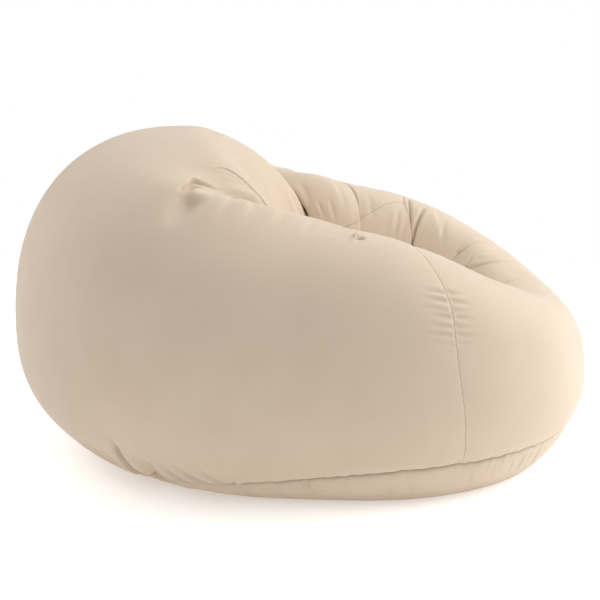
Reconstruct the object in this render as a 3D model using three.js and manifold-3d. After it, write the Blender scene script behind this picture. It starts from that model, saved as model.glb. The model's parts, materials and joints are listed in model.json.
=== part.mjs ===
/*
 * Inflatable round armchair in a sewn cloth cover.
 *
 * Millimetres, +Z up. The front faces -Y, the width runs along X, and the origin lies on the
 * floor under the middle of the chair's plan.
 *
 * One free surface, the skin, is the outside of the cover. It is a ring of rounded sections
 * about an upright seat axis. An angle of 0 is the front, 90 an arm and 180 the back; a turn of
 * 0 points outwards, 90 up, 180 to the seat and 270 down. Every cloth panel, bladder gore and
 * baffle is a layer of that skin at its own depth, so neighbours stay one clearance apart.
 */
import * as THREE from 'three';
import { mergeVertices } from 'three/addons/utils/BufferGeometryUtils.js';
import Module from 'manifold-3d';

const wasm = await Module();
wasm.setup();

// Driving sizes of the whole chair
const PLAN_LENGTH = 1111; // front bulge to back bulge
const OVERALL_HEIGHT = 624; // floor to the top of the backrest
const FRONT_BASE_SEAM_HEIGHT = 75; // seam between the sides and the base panel, at the front
const BACK_BASE_SEAM_HEIGHT = 22; // the same seam under the back bulge
const FLOOR_SINK = 13; // how far a free round section would reach below the floor
const SEAT_RIM_HEIGHT = 225; // where the seat panel meets the inner wall
const SEAT_CROWN = 24; // rise of the seat's middle over its rim
const VALLEY_ROUNDING = 1; // degrees of rounding at the bottom of a crease
const PLEAT_DEPTH = 9; // how far a gore joint draws in the inner wall
const SOFT_PLEAT_DEPTH = 5; // depth of the pleat within the front corner

// Sheet thicknesses and clearances
const COVER_THICKNESS = 1.5;
const SKIN_THICKNESS = 1.0;
const BAFFLE_THICKNESS = 1.0;
const GAP = 0.3; // between touching pieces
const WELD_TOLERANCE = 1e-4; // corners closer than this are one

// Hollow middle of the base, which keeps the zip off the floor
const BASE_RISE = 9;
const FOOT_OVERLAP = 25; // flat of the base inside the ring's own foot
const RISE_RUN = 20; // level run of the slope up to the hollow

// Zip
const ZIP_LENGTH = 400;
const ZIP_SLOT_WIDTH = 14;
const ZIP_FORWARD_OF_CENTRE = 20;
const TAPE_WIDTH = 14;
const TAPE_THICKNESS = 0.8;
const COIL_WIDTH = 2.4;
const COIL_HEIGHT = 1.8;
const POST_THICKNESS = 0.8;
const POST_LENGTH = 3;
const SLIDER_LENGTH = 12;
const SLIDER_WIDTH = 9;
const SLIDER_PLATE = 1;
const SLIDER_END_PLAY = 4; // between slider and end stop when closed
const STOP_LENGTH = 4;
const STOP_THICKNESS = 0.9;
const STOP_WIDTH = 6;
const BAIL_DROP = 2; // slider plate to the pull bar's middle
const BAIL_BAR_RADIUS = 0.6;
const BAIL_WIDTH = 5;
const BAIL_LEG = 1.0;
const PULL_EYE_CLEARANCE = 0.25;
const PULL_EYE_WALL = 0.7;
const PULL_EYE_WIDTH = 2.4;
const PULL_LENGTH = 26;
const PULL_WIDTH = 6;
const PULL_THICKNESS = 1;
const PULL_HOLE_RADIUS = 1.4;

// Valve
const VALVE_WINDOW_RADIUS = 36; // round opening in the cover
const FLANGE_RADIUS = 30;
const FLANGE_THICKNESS = 1.2;
const TUBE_OUTER_RADIUS = 17.5;
const TUBE_BORE_RADIUS = 14;
const TUBE_DEPTH = 20;
const TUBE_LIP = 1.2;
const SPOKE_WIDTH = 2;
const SPOKE_HEIGHT = 3;
const FLAP_RADIUS = 15.5;
const FLAP_THICKNESS = 1.2;
const CAP_RADIUS = 17.5;
const CAP_THICKNESS = 2.2;
const PLUG_DEPTH = 6;
const PLUG_TAPER = 1.3;
const CAP_ARM_WIDTH = 8;
const HINGE_OFFSET = 24; // valve centre to the cap's hinge
const HINGE_RADIUS = 1.6;
const LUG_LENGTH = 2.4;
const LUG_THICKNESS = 3.2;

// Webs in the seat chamber
const WEB_SPACING = 130;
const WEB_LENGTH = 250;
const WEB_THICKNESS = 1;
const WEB_VENT_RADIUS = 18;
const WEB_VENT_SPACING = 80;

// Sections of the skin at nine angles. Level sizes are shares of PLAN_LENGTH and upright
// sizes are shares of OVERALL_HEIGHT, measured from the section's core.
const SECTION_ANGLES = [0, 30, 60, 90, 112, 130, 146, 162, 180];
const coreRadiusShares = [0.219, 0.230, 0.266, 0.309, 0.329, 0.364, 0.387, 0.390, 0.390];
const coreHeightShares = [0.248, 0.263, 0.309, 0.380, 0.428, 0.468, 0.450, 0.426, 0.427];
const outwardShares = [0.097, 0.104, 0.127, 0.162, 0.202, 0.252, 0.273, 0.291, 0.294];
const inwardShares = [0.105, 0.107, 0.113, 0.121, 0.129, 0.137, 0.148, 0.164, 0.169];
const upwardShares = [0.237, 0.253, 0.287, 0.337, 0.353, 0.410, 0.488, 0.549, 0.573];
const LOWER_ROUNDNESS = [1.69, 1.68, 1.71, 1.80, 1.97, 2.13, 2.23, 2.27, 2.27];
const UPPER_ROUNDNESS = 2.38;
const INNER_ROUNDNESS = 2.1;

// Columns of the skin's grid: key angles on one side, and the cells between them
const FRONT_JOINT_ANGLE = 18;
const FRONT_PLEAT_ANGLE = 60;
const ARM_PLEAT_ANGLE = 110;
const SEAM_ANGLE = 78.5; // side seam at the base, on the outside
const SEAM_SIDE_LEAN = 3.5; // how far the seam leans back on its way up the side
const SEAM_CREST_LEAN = 8; // how far it leans back on its way over the arm
const SEAM_RETURN = 5; // how far it comes forwards again on the inner wall
const VALLEY_ANGLE = 137; // crease between arm and backrest, low on the outside
const VALLEY_LEAN = 10; // how far the crease leans forwards at the crest
const CREASE_SHARE = 0.42; // how much of a section the crease takes away
const CREASE_REACH = 7.7; // degrees over which a crease fades
const PLEAT_REACH = 3; // degrees over which a pleat fades
const COLUMN_CELLS = [2, 4, 3, 3, 3, 5];
const SIDE_COLUMNS = COLUMN_CELLS.reduce((sum, cells) => sum + cells, 0);
const COLUMNS = 2 * SIDE_COLUMNS;
const FRONT_JOINT = COLUMN_CELLS[0];
const FRONT_PLEAT = FRONT_JOINT + COLUMN_CELLS[1];
const SIDE_SEAM = FRONT_PLEAT + COLUMN_CELLS[2];
const ARM_PLEAT = SIDE_SEAM + COLUMN_CELLS[3];
const VALLEY = ARM_PLEAT + COLUMN_CELLS[4];
const BACK = SIDE_COLUMNS;
const SOFT_PLEAT_SHARE = 0.75; // its column's place between the front joint and the front pleat

// Rows of the grid, from the base seam over the crest to the seat and back under the ring
const ARM_SEAM_TURN = 97; // seam to the inner panel where it leaves the side seam
const BACK_SEAM_TURN = 140; // the same seam on the backrest's face
const FRONT_SEAM_SHARE = 0.55; // front panel's inner seam, between the row above and the seat
const ROW_CELLS = [10, 2, 2, 3, 1, 2];
const ARM_SEAM_ROW = ROW_CELLS[0];
const FRONT_SEAM_ROW = ARM_SEAM_ROW + ROW_CELLS[1];
const SEAT_ROW = FRONT_SEAM_ROW + ROW_CELLS[2];
const INNER_FOOT_ROW = SEAT_ROW + ROW_CELLS[3];
const OUTER_FOOT_ROW = INNER_FOOT_ROW + ROW_CELLS[4];
const ROWS = OUTER_FOOT_ROW + ROW_CELLS[5];
const NEARLY_DOWN_TURN = -88; // lowest turn that is searched for the foot

// Depths of the layers under the outside of the cover
const BLADDER_DEPTH = COVER_THICKNESS + GAP;
const BLADDER_INSIDE = BLADDER_DEPTH + SKIN_THICKNESS;
const BAFFLE_RIM_DEPTH = BLADDER_INSIDE + GAP;

const rad = THREE.MathUtils.degToRad;
const ramp = (from, to, value) => THREE.MathUtils.smoothstep(value, from, to);

/** Smooth curve through values at SECTION_ANGLES, level at the front and at the back. */
function evenCurve(values) {
  const last = values.length - 1;
  const slopes = values.map((value, i) => (
    i === 0 || i === last ? 0
      : (values[i + 1] - values[i - 1]) / (SECTION_ANGLES[i + 1] - SECTION_ANGLES[i - 1])
  ));
  return (angle) => {
    let i = 0;
    while (i < last - 1 && angle > SECTION_ANGLES[i + 1]) i += 1;
    const span = SECTION_ANGLES[i + 1] - SECTION_ANGLES[i];
    const u = (angle - SECTION_ANGLES[i]) / span;
    const rise = u * u * (3 - 2 * u);
    return values[i] * (1 - rise) + values[i + 1] * rise
      + span * slopes[i] * u * (1 - u) * (1 - u)
      - span * slopes[i + 1] * u * u * (1 - u);
  };
}

const coreRadiusAt = evenCurve(coreRadiusShares.map((share) => share * PLAN_LENGTH));
const coreHeightAt = evenCurve(coreHeightShares.map((share) => share * OVERALL_HEIGHT));
const outwardAt = evenCurve(outwardShares.map((share) => share * PLAN_LENGTH));
const inwardAt = evenCurve(inwardShares.map((share) => share * PLAN_LENGTH));
const upwardAt = evenCurve(upwardShares.map((share) => share * OVERALL_HEIGHT));
const lowerRoundnessAt = evenCurve(LOWER_ROUNDNESS);

// The seat axis stands where front and back bulge lie as far from the origin
const FRONT_REACH = coreRadiusAt(0) + outwardAt(0);
const BACK_REACH = coreRadiusAt(180) + outwardAt(180);
const SEAT_AXIS_Y = (FRONT_REACH - BACK_REACH) / 2;

/** Angle of the side seam at a turn: it leans back up to the crest, then forwards again. */
function seamAngle(turn) {
  const underLean = SEAM_SIDE_LEAN + SEAM_CREST_LEAN - SEAM_RETURN;
  return SEAM_ANGLE + SEAM_SIDE_LEAN * ramp(-50, 40, turn) + SEAM_CREST_LEAN * ramp(35, 105, turn)
    - SEAM_RETURN * ramp(95, 125, turn) - underLean * ramp(190, 265, turn);
}

/** Turn at which a side panel meets the inner panels: further in towards the back. */
function armSeamTurn(angle) {
  return ARM_SEAM_TURN + (BACK_SEAM_TURN - ARM_SEAM_TURN) * ramp(80, 132, angle);
}

/** Height of the base seam at an angle. */
function baseSeamHeight(angle) {
  return THREE.MathUtils.lerp(FRONT_BASE_SEAM_HEIGHT, BACK_BASE_SEAM_HEIGHT, ramp(85, 150, angle));
}

/** Angle of the crease between arm and backrest at a turn. */
function valleyAngle(turn) {
  return VALLEY_ANGLE - VALLEY_LEAN * ramp(66, 118, turn) * (1 - ramp(200, 265, turn));
}

/** How much the crease and the pleats draw the section in, as a share and as a length. */
function drawnIn(angle, turn) {
  const away = Math.hypot(angle - valleyAngle(turn), VALLEY_ROUNDING);
  const creaseFade = ramp(60, 100, turn) * (1 - ramp(165, 215, turn));
  const creaseShare = CREASE_SHARE * Math.exp(-away / CREASE_REACH) * creaseFade;
  const nearest = Math.min(
    Math.abs(angle - FRONT_PLEAT_ANGLE),
    Math.abs(angle - seamAngle(turn)),
    Math.abs(angle - ARM_PLEAT_ANGLE),
  );
  const softAngle = THREE.MathUtils.lerp(FRONT_JOINT_ANGLE, FRONT_PLEAT_ANGLE, SOFT_PLEAT_SHARE);
  const soft = SOFT_PLEAT_DEPTH * Math.exp(-Math.abs(angle - softAngle) / PLEAT_REACH);
  const pleatFade = ramp(85, 125, turn) * (1 - ramp(185, 230, turn));
  const pleat = Math.max(PLEAT_DEPTH * Math.exp(-nearest / PLEAT_REACH), soft) * pleatFade;
  return { creaseShare, pleat };
}

/** Point of the skin at a signed angle and a turn, in degrees, before the floor flattens it. */
function skinPoint(signedAngle, turn) {
  const angle = Math.abs(signedAngle);
  const out = Math.cos(rad(turn));
  const up = Math.sin(rad(turn));
  const coreHeight = coreHeightAt(angle);
  const level = out >= 0 ? outwardAt(angle) : inwardAt(angle);
  const upright = up >= 0 ? upwardAt(angle) : coreHeight + FLOOR_SINK;
  const lower = lowerRoundnessAt(angle);
  const roundness = out >= 0 ? lower + (UPPER_ROUNDNESS - lower) * ramp(-0.7, 0.7, up) : INNER_ROUNDNESS;
  const reach = (Math.abs(out / level) ** roundness + Math.abs(up / upright) ** roundness) ** (-1 / roundness);
  const { creaseShare, pleat } = drawnIn(angle, turn);
  const drawn = reach * (1 - creaseShare) - pleat;
  const radius = coreRadiusAt(angle) + drawn * out;
  return new THREE.Vector3(
    radius * Math.sin(rad(signedAngle)),
    SEAT_AXIS_Y - radius * Math.cos(rad(signedAngle)),
    coreHeight + drawn * up,
  );
}

/** Signed angle of a grid column at a turn. Columns run from the front round by +X. */
function columnAngle(column, turn) {
  const side = column <= SIDE_COLUMNS ? 1 : -1;
  let step = side > 0 ? column : COLUMNS - column;
  const keys = [
    0, FRONT_JOINT_ANGLE, FRONT_PLEAT_ANGLE, seamAngle(turn), ARM_PLEAT_ANGLE, valleyAngle(turn), 180,
  ];
  let part = 0;
  while (step > COLUMN_CELLS[part]) {
    step -= COLUMN_CELLS[part];
    part += 1;
  }
  return side * THREE.MathUtils.lerp(keys[part], keys[part + 1], step / COLUMN_CELLS[part]);
}

const HALVINGS = 40;

/** Turn between two turns at which a column's skin passes a height. */
function turnAtHeight(column, height, low, high) {
  const heightAt = (turn) => skinPoint(columnAngle(column, turn), turn).z;
  const rising = heightAt(high) > heightAt(low);
  for (let i = 0; i < HALVINGS; i += 1) {
    const middle = (low + high) / 2;
    if ((heightAt(middle) < height) === rising) low = middle;
    else high = middle;
  }
  return (low + high) / 2;
}

/** Turns of all rows of one column. */
function rowTurns(column) {
  const seamHeight = baseSeamHeight(Math.abs(columnAngle(column, NEARLY_DOWN_TURN)));
  const baseSeam = turnAtHeight(column, seamHeight, NEARLY_DOWN_TURN, 0);
  const armSeam = armSeamTurn(Math.abs(columnAngle(column, ARM_SEAM_TURN)));
  const seatRim = turnAtHeight(column, SEAT_RIM_HEIGHT, 120, 262);
  const keys = [
    baseSeam,
    armSeam,
    THREE.MathUtils.lerp(armSeam, seatRim, FRONT_SEAM_SHARE),
    seatRim,
    turnAtHeight(column, 0, 190, 268),
    turnAtHeight(column, 0, NEARLY_DOWN_TURN, baseSeam) + 360,
    baseSeam + 360,
  ];
  return ROW_CELLS.flatMap((cells, part) => Array.from(
    { length: cells },
    (_, step) => THREE.MathUtils.lerp(keys[part], keys[part + 1], step / cells),
  ));
}

/** Wraps a grid index round a closed loop of the grid. */
const wrapColumn = (column) => ((column % COLUMNS) + COLUMNS) % COLUMNS;
const wrapRow = (row) => ((row % ROWS) + ROWS) % ROWS;

/** Points and outward normals of the skin on its grid. */
function makeSkin() {
  const points = [];
  for (let column = 0; column < COLUMNS; column += 1) {
    points.push(rowTurns(column).map((rowTurn) => {
      const turn = rowTurn > 270 ? rowTurn - 360 : rowTurn;
      const point = skinPoint(columnAngle(column, turn), turn);
      point.z = Math.max(point.z, 0);
      return point;
    }));
  }
  const at = (column, row) => points[wrapColumn(column)][wrapRow(row)];
  const normals = points.map((line, column) => line.map((point, row) => {
    const normal = new THREE.Vector3();
    const around = [[1, 0], [0, 1], [-1, 0], [0, -1]].map(([i, j]) => at(column + i, row + j).clone().sub(point));
    around.forEach((edge, k) => normal.add(edge.clone().cross(around[(k + 1) % around.length])));
    return normal.normalize();
  }));
  return { points, normals };
}

const skin = makeSkin();

/** Point at a depth under the skin. It stays that depth above the floor. */
function layerPoint(column, row, depth) {
  const point = skin.points[wrapColumn(column)][wrapRow(row)].clone();
  point.addScaledVector(skin.normals[wrapColumn(column)][wrapRow(row)], -depth);
  point.z = Math.max(point.z, depth);
  return point;
}

/** Step of half a gap from an edge of the grid to its inside, square to the edge. */
function edgeInset(column, row, depth, [columnStep, rowStep]) {
  const point = layerPoint(column, row, depth);
  const inwards = layerPoint(column + columnStep, row + rowStep, depth).sub(point);
  const edge = layerPoint(column + rowStep, row + columnStep, depth)
    .sub(layerPoint(column - rowStep, row - columnStep, depth)).normalize();
  return inwards.addScaledVector(edge, -inwards.dot(edge)).setLength(GAP / 2);
}

/** Layer of a patch of the grid, drawn back from the patch's own edges. */
function patchLayer(patch, depth) {
  const { columns: [first, last], rows: [low, high], rowsLoop } = patch;
  const layer = [];
  for (let column = first; column <= last; column += 1) {
    const line = [];
    for (let row = low; row <= (rowsLoop ? high - 1 : high); row += 1) {
      const point = layerPoint(column, row, depth);
      if (column === first) point.add(edgeInset(column, row, depth, [1, 0]));
      if (column === last) point.add(edgeInset(column, row, depth, [-1, 0]));
      if (!rowsLoop && row === low) point.add(edgeInset(column, row, depth, [0, 1]));
      if (!rowsLoop && row === high) point.add(edgeInset(column, row, depth, [0, -1]));
      line.push(point);
    }
    layer.push(line);
  }
  return layer;
}

/** Collects triangles of one closed solid. */
class SolidBuilder {
  constructor() {
    this.positions = [];
  }

  triangle(a, b, c) {
    [a, b, c].forEach((point) => this.positions.push(point.x, point.y, point.z));
  }

  quad(a, b, c, d) {
    this.triangle(a, b, c);
    this.triangle(a, c, d);
  }

  geometry() {
    const geometry = new THREE.BufferGeometry();
    geometry.setAttribute('position', new THREE.Float32BufferAttribute(this.positions, 3));
    return geometry;
  }
}

/**
 * Closed sheet between a front layer and a back layer of the same grid.
 * The columns or the rows may loop, and the last row may close on a centre point.
 */
function sheet(front, back, { columnsLoop = false, rowsLoop = false, centres = null } = {}) {
  const solid = new SolidBuilder();
  const columns = front.length;
  const rows = front[0].length;
  const next = (i) => (i + 1) % columns;
  const over = (j) => (j + 1) % rows;
  for (let i = 0; i < (columnsLoop ? columns : columns - 1); i += 1) {
    for (let j = 0; j < (rowsLoop ? rows : rows - 1); j += 1) {
      solid.quad(front[i][j], front[next(i)][j], front[next(i)][over(j)], front[i][over(j)]);
      const [a, b, c, d] = [back[i][j], back[next(i)][j], back[next(i)][over(j)], back[i][over(j)]];
      solid.triangle(a, c, b);
      solid.triangle(a, d, c);
    }
    if (rowsLoop) continue;
    solid.quad(front[next(i)][0], front[i][0], back[i][0], back[next(i)][0]);
    const end = rows - 1;
    if (centres) {
      solid.triangle(front[i][end], front[next(i)][end], centres.front);
      solid.triangle(back[next(i)][end], back[i][end], centres.back);
    } else {
      solid.quad(front[i][end], front[next(i)][end], back[next(i)][end], back[i][end]);
    }
  }
  if (columnsLoop) return solid.geometry();
  const end = columns - 1;
  for (let j = 0; j < (rowsLoop ? rows : rows - 1); j += 1) {
    solid.quad(front[0][j], front[0][over(j)], back[0][over(j)], back[0][j]);
    solid.quad(front[end][over(j)], front[end][j], back[end][j], back[end][over(j)]);
  }
  return solid.geometry();
}

/** Sheet that follows a patch of the skin between two depths. */
function patchSheet(patch, outerDepth, innerDepth) {
  return sheet(patchLayer(patch, outerDepth), patchLayer(patch, innerDepth), { rowsLoop: patch.rowsLoop });
}

/** Turns any closed geometry into a solid that can be cut and joined. */
function toSolid(geometry) {
  const bare = geometry.clone();
  bare.deleteAttribute('normal');
  bare.deleteAttribute('uv');
  const merged = mergeVertices(bare, WELD_TOLERANCE);
  const mesh = new wasm.Mesh({
    numProp: 3,
    vertProperties: new Float32Array(merged.attributes.position.array),
    triVerts: new Uint32Array(merged.index.array),
  });
  return new wasm.Manifold(mesh);
}

/** Turns a solid back into a geometry. */
function toGeometry(solid) {
  const mesh = solid.getMesh();
  const geometry = new THREE.BufferGeometry();
  geometry.setAttribute('position', new THREE.Float32BufferAttribute(mesh.vertProperties, 3));
  geometry.setIndex(new THREE.Uint32BufferAttribute(mesh.triVerts, 1));
  return geometry;
}

const united = (...geometries) => toGeometry(geometries.map(toSolid).reduce((sum, part) => sum.add(part)));
const cut = (geometry, ...tools) => toGeometry(
  tools.map(toSolid).reduce((sum, tool) => sum.subtract(tool), toSolid(geometry)),
);

/** Box between two corners. */
function boxBetween(low, high) {
  const size = high.map((value, axis) => value - low[axis]);
  const middle = high.map((value, axis) => (value + low[axis]) / 2);
  return new THREE.BoxGeometry(...size).translate(...middle);
}

/** Upright cylinder between two heights about the local Z axis. */
function cylinderBetween(radius, low, high, sides = 32, lowRadius = radius) {
  const cylinder = new THREE.CylinderGeometry(radius, lowRadius, high - low, sides);
  return cylinder.rotateX(Math.PI / 2).translate(0, 0, (low + high) / 2);
}

/** Cylinder along Y between two places. */
function barAlongY(radius, low, high, sides = 12) {
  return new THREE.CylinderGeometry(radius, radius, high - low, sides).translate(0, (low + high) / 2, 0);
}

const clothMaterial = () => new THREE.MeshStandardMaterial({ color: 0xd3c0aa, roughness: 0.86, metalness: 0 });
const bladderMaterial = () => new THREE.MeshStandardMaterial({ color: 0xe7e6e1, roughness: 0.38, metalness: 0 });
const zipClothMaterial = () => new THREE.MeshStandardMaterial({ color: 0xc9b69f, roughness: 0.8, metalness: 0 });
const zipMetalMaterial = () => new THREE.MeshStandardMaterial({ color: 0x9a958d, roughness: 0.35, metalness: 1 });
const valveMaterial = () => new THREE.MeshStandardMaterial({ color: 0xefece4, roughness: 0.45, metalness: 0 });
const rubberMaterial = () => new THREE.MeshStandardMaterial({ color: 0x6f6c68, roughness: 0.6, metalness: 0 });

const chair = new THREE.Group();

function addMesh(name, geometry, material) {
  const mesh = new THREE.Mesh(geometry, material);
  mesh.name = name;
  chair.add(mesh);
  return mesh;
}

// Valve place: on the low back, on the +X side, in the middle of one facet of a gore
const VALVE_COLUMN = BACK - 2;
const VALVE_ROW = 2;

/** Frame of the valve: the facet's inscribed centre, Z out of the facet, Y up along it. */
function valveFrame() {
  const corners = [[0, 0], [1, 0], [1, 1]].map(([i, j]) => (
    layerPoint(VALVE_COLUMN + i, VALVE_ROW + j, BLADDER_DEPTH)));
  const sides = corners.map((_, k) => corners[(k + 1) % 3].distanceTo(corners[(k + 2) % 3]));
  const whole = sides.reduce((sum, side) => sum + side, 0);
  const centre = new THREE.Vector3();
  corners.forEach((corner, k) => centre.addScaledVector(corner, sides[k] / whole));
  const outward = corners[1].clone().sub(corners[0]).cross(corners[2].clone().sub(corners[0])).normalize();
  const across = new THREE.Vector3(0, 0, 1).cross(outward).normalize();
  const upward = outward.clone().cross(across);
  return new THREE.Matrix4().makeBasis(across, upward, outward).setPosition(centre);
}

const valvePlace = valveFrame();
const atValve = (geometry) => geometry.applyMatrix4(valvePlace);

/** Cloth panels of the sides, front, inner wall and backrest face. */
function addCoverPanels() {
  const panel = (name, columns, rows) => {
    const geometry = patchSheet({ columns, rows }, 0, COVER_THICKNESS);
    addMesh(name, geometry, clothMaterial());
    return geometry;
  };
  const outerRows = [0, ARM_SEAM_ROW];
  const innerRows = [ARM_SEAM_ROW, SEAT_ROW];
  const window = atValve(cylinderBetween(VALVE_WINDOW_RADIUS, -VALVE_WINDOW_RADIUS, VALVE_WINDOW_RADIUS));
  const rightSide = patchSheet({ columns: [SIDE_SEAM, BACK], rows: outerRows }, 0, COVER_THICKNESS);
  addMesh('cover_side_right', cut(rightSide, window), clothMaterial());
  panel('cover_side_left', [BACK, COLUMNS - SIDE_SEAM], outerRows);
  panel('cover_front', [-SIDE_SEAM, SIDE_SEAM], [0, FRONT_SEAM_ROW]);
  panel('cover_front_inner', [-SIDE_SEAM, SIDE_SEAM], [FRONT_SEAM_ROW, SEAT_ROW]);
  panel('cover_arm_inner_right', [SIDE_SEAM, VALLEY], innerRows);
  panel('cover_arm_inner_left', [-VALLEY, -SIDE_SEAM], innerRows);
  panel('cover_backrest_face', [VALLEY, COLUMNS - VALLEY], innerRows);
}

const SEAT_CENTRE_Y = SEAT_AXIS_Y + (coreRadiusAt(180) - inwardAt(180) - coreRadiusAt(0) + inwardAt(0)) / 2;
const ringShares = [0, 0.12, 0.4, 0.7];

/** Rings of a seat sheet: the rim follows the inner wall, and the middle is crowned. */
function seatRings(rimDepth, drop) {
  const centre = new THREE.Vector3(0, SEAT_CENTRE_Y, SEAT_RIM_HEIGHT + SEAT_CROWN - drop);
  const rings = [];
  for (let column = 0; column < COLUMNS; column += 1) {
    const rim = layerPoint(column, SEAT_ROW, rimDepth);
    rim.z = SEAT_RIM_HEIGHT - drop;
    rings.push(ringShares.map((share) => {
      const point = rim.clone().lerp(centre, share);
      point.z = rim.z + SEAT_CROWN * share * (2 - share);
      return point;
    }));
  }
  return { rings, centre };
}

/** Sheet between two sets of seat rings. */
function seatSheet(rimDepth, topDrop, bottomDrop) {
  const top = seatRings(rimDepth, topDrop);
  const bottom = seatRings(rimDepth, bottomDrop);
  return sheet(top.rings, bottom.rings, {
    columnsLoop: true,
    centres: { front: top.centre, back: bottom.centre },
  });
}

const ZIP_Y = SEAT_CENTRE_Y - ZIP_FORWARD_OF_CENTRE;

/**
 * Base panel: a band below the base seam, a flat foot, and a hollow middle with the zip slot.
 * Its rows run against the skin's, so its columns do too, which keeps its facets parallel to the gores'.
 */
function addBasePanel() {
  const ringsAt = (depth) => {
    const lift = BASE_RISE + depth;
    const centre = new THREE.Vector3(0, SEAT_CENTRE_Y, lift);
    const rings = [];
    for (let column = COLUMNS; column > 0; column -= 1) {
      const foot = layerPoint(column, INNER_FOOT_ROW, 0);
      const inwards = centre.clone().sub(foot).setZ(0).normalize();
      const ring = [layerPoint(column, ROWS, depth).add(edgeInset(column, ROWS, depth, [0, -1]))];
      for (let row = ROWS - 1; row >= OUTER_FOOT_ROW; row -= 1) ring.push(layerPoint(column, row, depth));
      ring.push(foot.clone().addScaledVector(inwards, FOOT_OVERLAP).setZ(depth));
      ring.push(foot.clone().addScaledVector(inwards, FOOT_OVERLAP + RISE_RUN).setZ(lift));
      rings.push(ring);
    }
    return { rings, centre };
  };
  const under = ringsAt(0);
  const over = ringsAt(COVER_THICKNESS);
  const base = sheet(under.rings, over.rings, {
    columnsLoop: true,
    centres: { front: under.centre, back: over.centre },
  });
  const slot = boxBetween(
    [-ZIP_LENGTH / 2 - STOP_LENGTH, ZIP_Y - ZIP_SLOT_WIDTH / 2, -BASE_RISE],
    [ZIP_LENGTH / 2 + STOP_LENGTH, ZIP_Y + ZIP_SLOT_WIDTH / 2, 3 * BASE_RISE],
  );
  addMesh('cover_base', cut(base, slot), clothMaterial());
}

// Levels of the zip, from the base cloth up and from the tape down
const TAPE_BOTTOM = BASE_RISE + COVER_THICKNESS + GAP;
const TAPE_TOP = TAPE_BOTTOM + TAPE_THICKNESS;
const UPPER_PLATE_BOTTOM = TAPE_TOP + GAP;
const UPPER_PLATE_TOP = UPPER_PLATE_BOTTOM + SLIDER_PLATE;
const COIL_TOP = TAPE_BOTTOM - GAP;
const COIL_BOTTOM = COIL_TOP - COIL_HEIGHT;
const LOWER_PLATE_TOP = COIL_BOTTOM - GAP;
const LOWER_PLATE_BOTTOM = LOWER_PLATE_TOP - SLIDER_PLATE;
const PULL_BAR_Z = LOWER_PLATE_BOTTOM - BAIL_DROP;
const HALF_CHAIN_GAP = POST_THICKNESS / 2 + GAP;
const STOP_INNER_X = ZIP_LENGTH / 2 - STOP_LENGTH;
const SLIDER_X = STOP_INNER_X - SLIDER_END_PLAY - SLIDER_LENGTH / 2;

/** Zip tapes and coils, one each side of the slot's middle line, and an end stop at each end. */
function addZipChain() {
  [['front', -1], ['back', 1]].forEach(([side, sign]) => {
    const strip = (inner, outer, bottom, top) => boxBetween(
      [-ZIP_LENGTH / 2, ZIP_Y + Math.min(sign * inner, sign * outer), bottom],
      [ZIP_LENGTH / 2, ZIP_Y + Math.max(sign * inner, sign * outer), top],
    );
    const tape = strip(HALF_CHAIN_GAP, HALF_CHAIN_GAP + TAPE_WIDTH, TAPE_BOTTOM, TAPE_TOP);
    addMesh(`zip_tape_${side}`, tape, zipClothMaterial());
    const coil = strip(HALF_CHAIN_GAP, HALF_CHAIN_GAP + COIL_WIDTH, COIL_BOTTOM, COIL_TOP);
    addMesh(`zip_coil_${side}`, coil, zipClothMaterial());
  });
  [['left', -1], ['right', 1]].forEach(([side, sign]) => {
    const ends = [sign * STOP_INNER_X, sign * (STOP_INNER_X + STOP_LENGTH)].sort((a, b) => a - b);
    const stop = boxBetween(
      [ends[0], ZIP_Y - STOP_WIDTH / 2, LOWER_PLATE_TOP - STOP_THICKNESS],
      [ends[1], ZIP_Y + STOP_WIDTH / 2, LOWER_PLATE_TOP],
    );
    addMesh(`zip_stop_${side}`, stop, zipMetalMaterial());
  });
}

/** Zip slider: two plates joined by a post between the coils, and a bail with the pull bar. */
function addZipSlider() {
  const plate = (bottom, top) => boxBetween(
    [SLIDER_X - SLIDER_LENGTH / 2, ZIP_Y - SLIDER_WIDTH / 2, bottom],
    [SLIDER_X + SLIDER_LENGTH / 2, ZIP_Y + SLIDER_WIDTH / 2, top],
  );
  const post = boxBetween(
    [SLIDER_X - POST_LENGTH / 2, ZIP_Y - POST_THICKNESS / 2, LOWER_PLATE_BOTTOM],
    [SLIDER_X + POST_LENGTH / 2, ZIP_Y + POST_THICKNESS / 2, UPPER_PLATE_TOP],
  );
  const bar = barAlongY(BAIL_BAR_RADIUS, -BAIL_WIDTH / 2, BAIL_WIDTH / 2).translate(SLIDER_X, ZIP_Y, PULL_BAR_Z);
  const legs = [-1, 1].map((sign) => {
    const outer = sign * BAIL_WIDTH / 2;
    const inner = outer - sign * BAIL_LEG;
    return boxBetween(
      [SLIDER_X - BAIL_BAR_RADIUS, ZIP_Y + Math.min(inner, outer), PULL_BAR_Z - BAIL_BAR_RADIUS],
      [SLIDER_X + BAIL_BAR_RADIUS, ZIP_Y + Math.max(inner, outer), LOWER_PLATE_TOP - SLIDER_PLATE / 2],
    );
  });
  const slider = united(
    plate(LOWER_PLATE_BOTTOM, LOWER_PLATE_TOP),
    plate(UPPER_PLATE_BOTTOM, UPPER_PLATE_TOP),
    post,
    bar,
    ...legs,
  );
  addMesh('zip_slider', slider, zipMetalMaterial());
}

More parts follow.
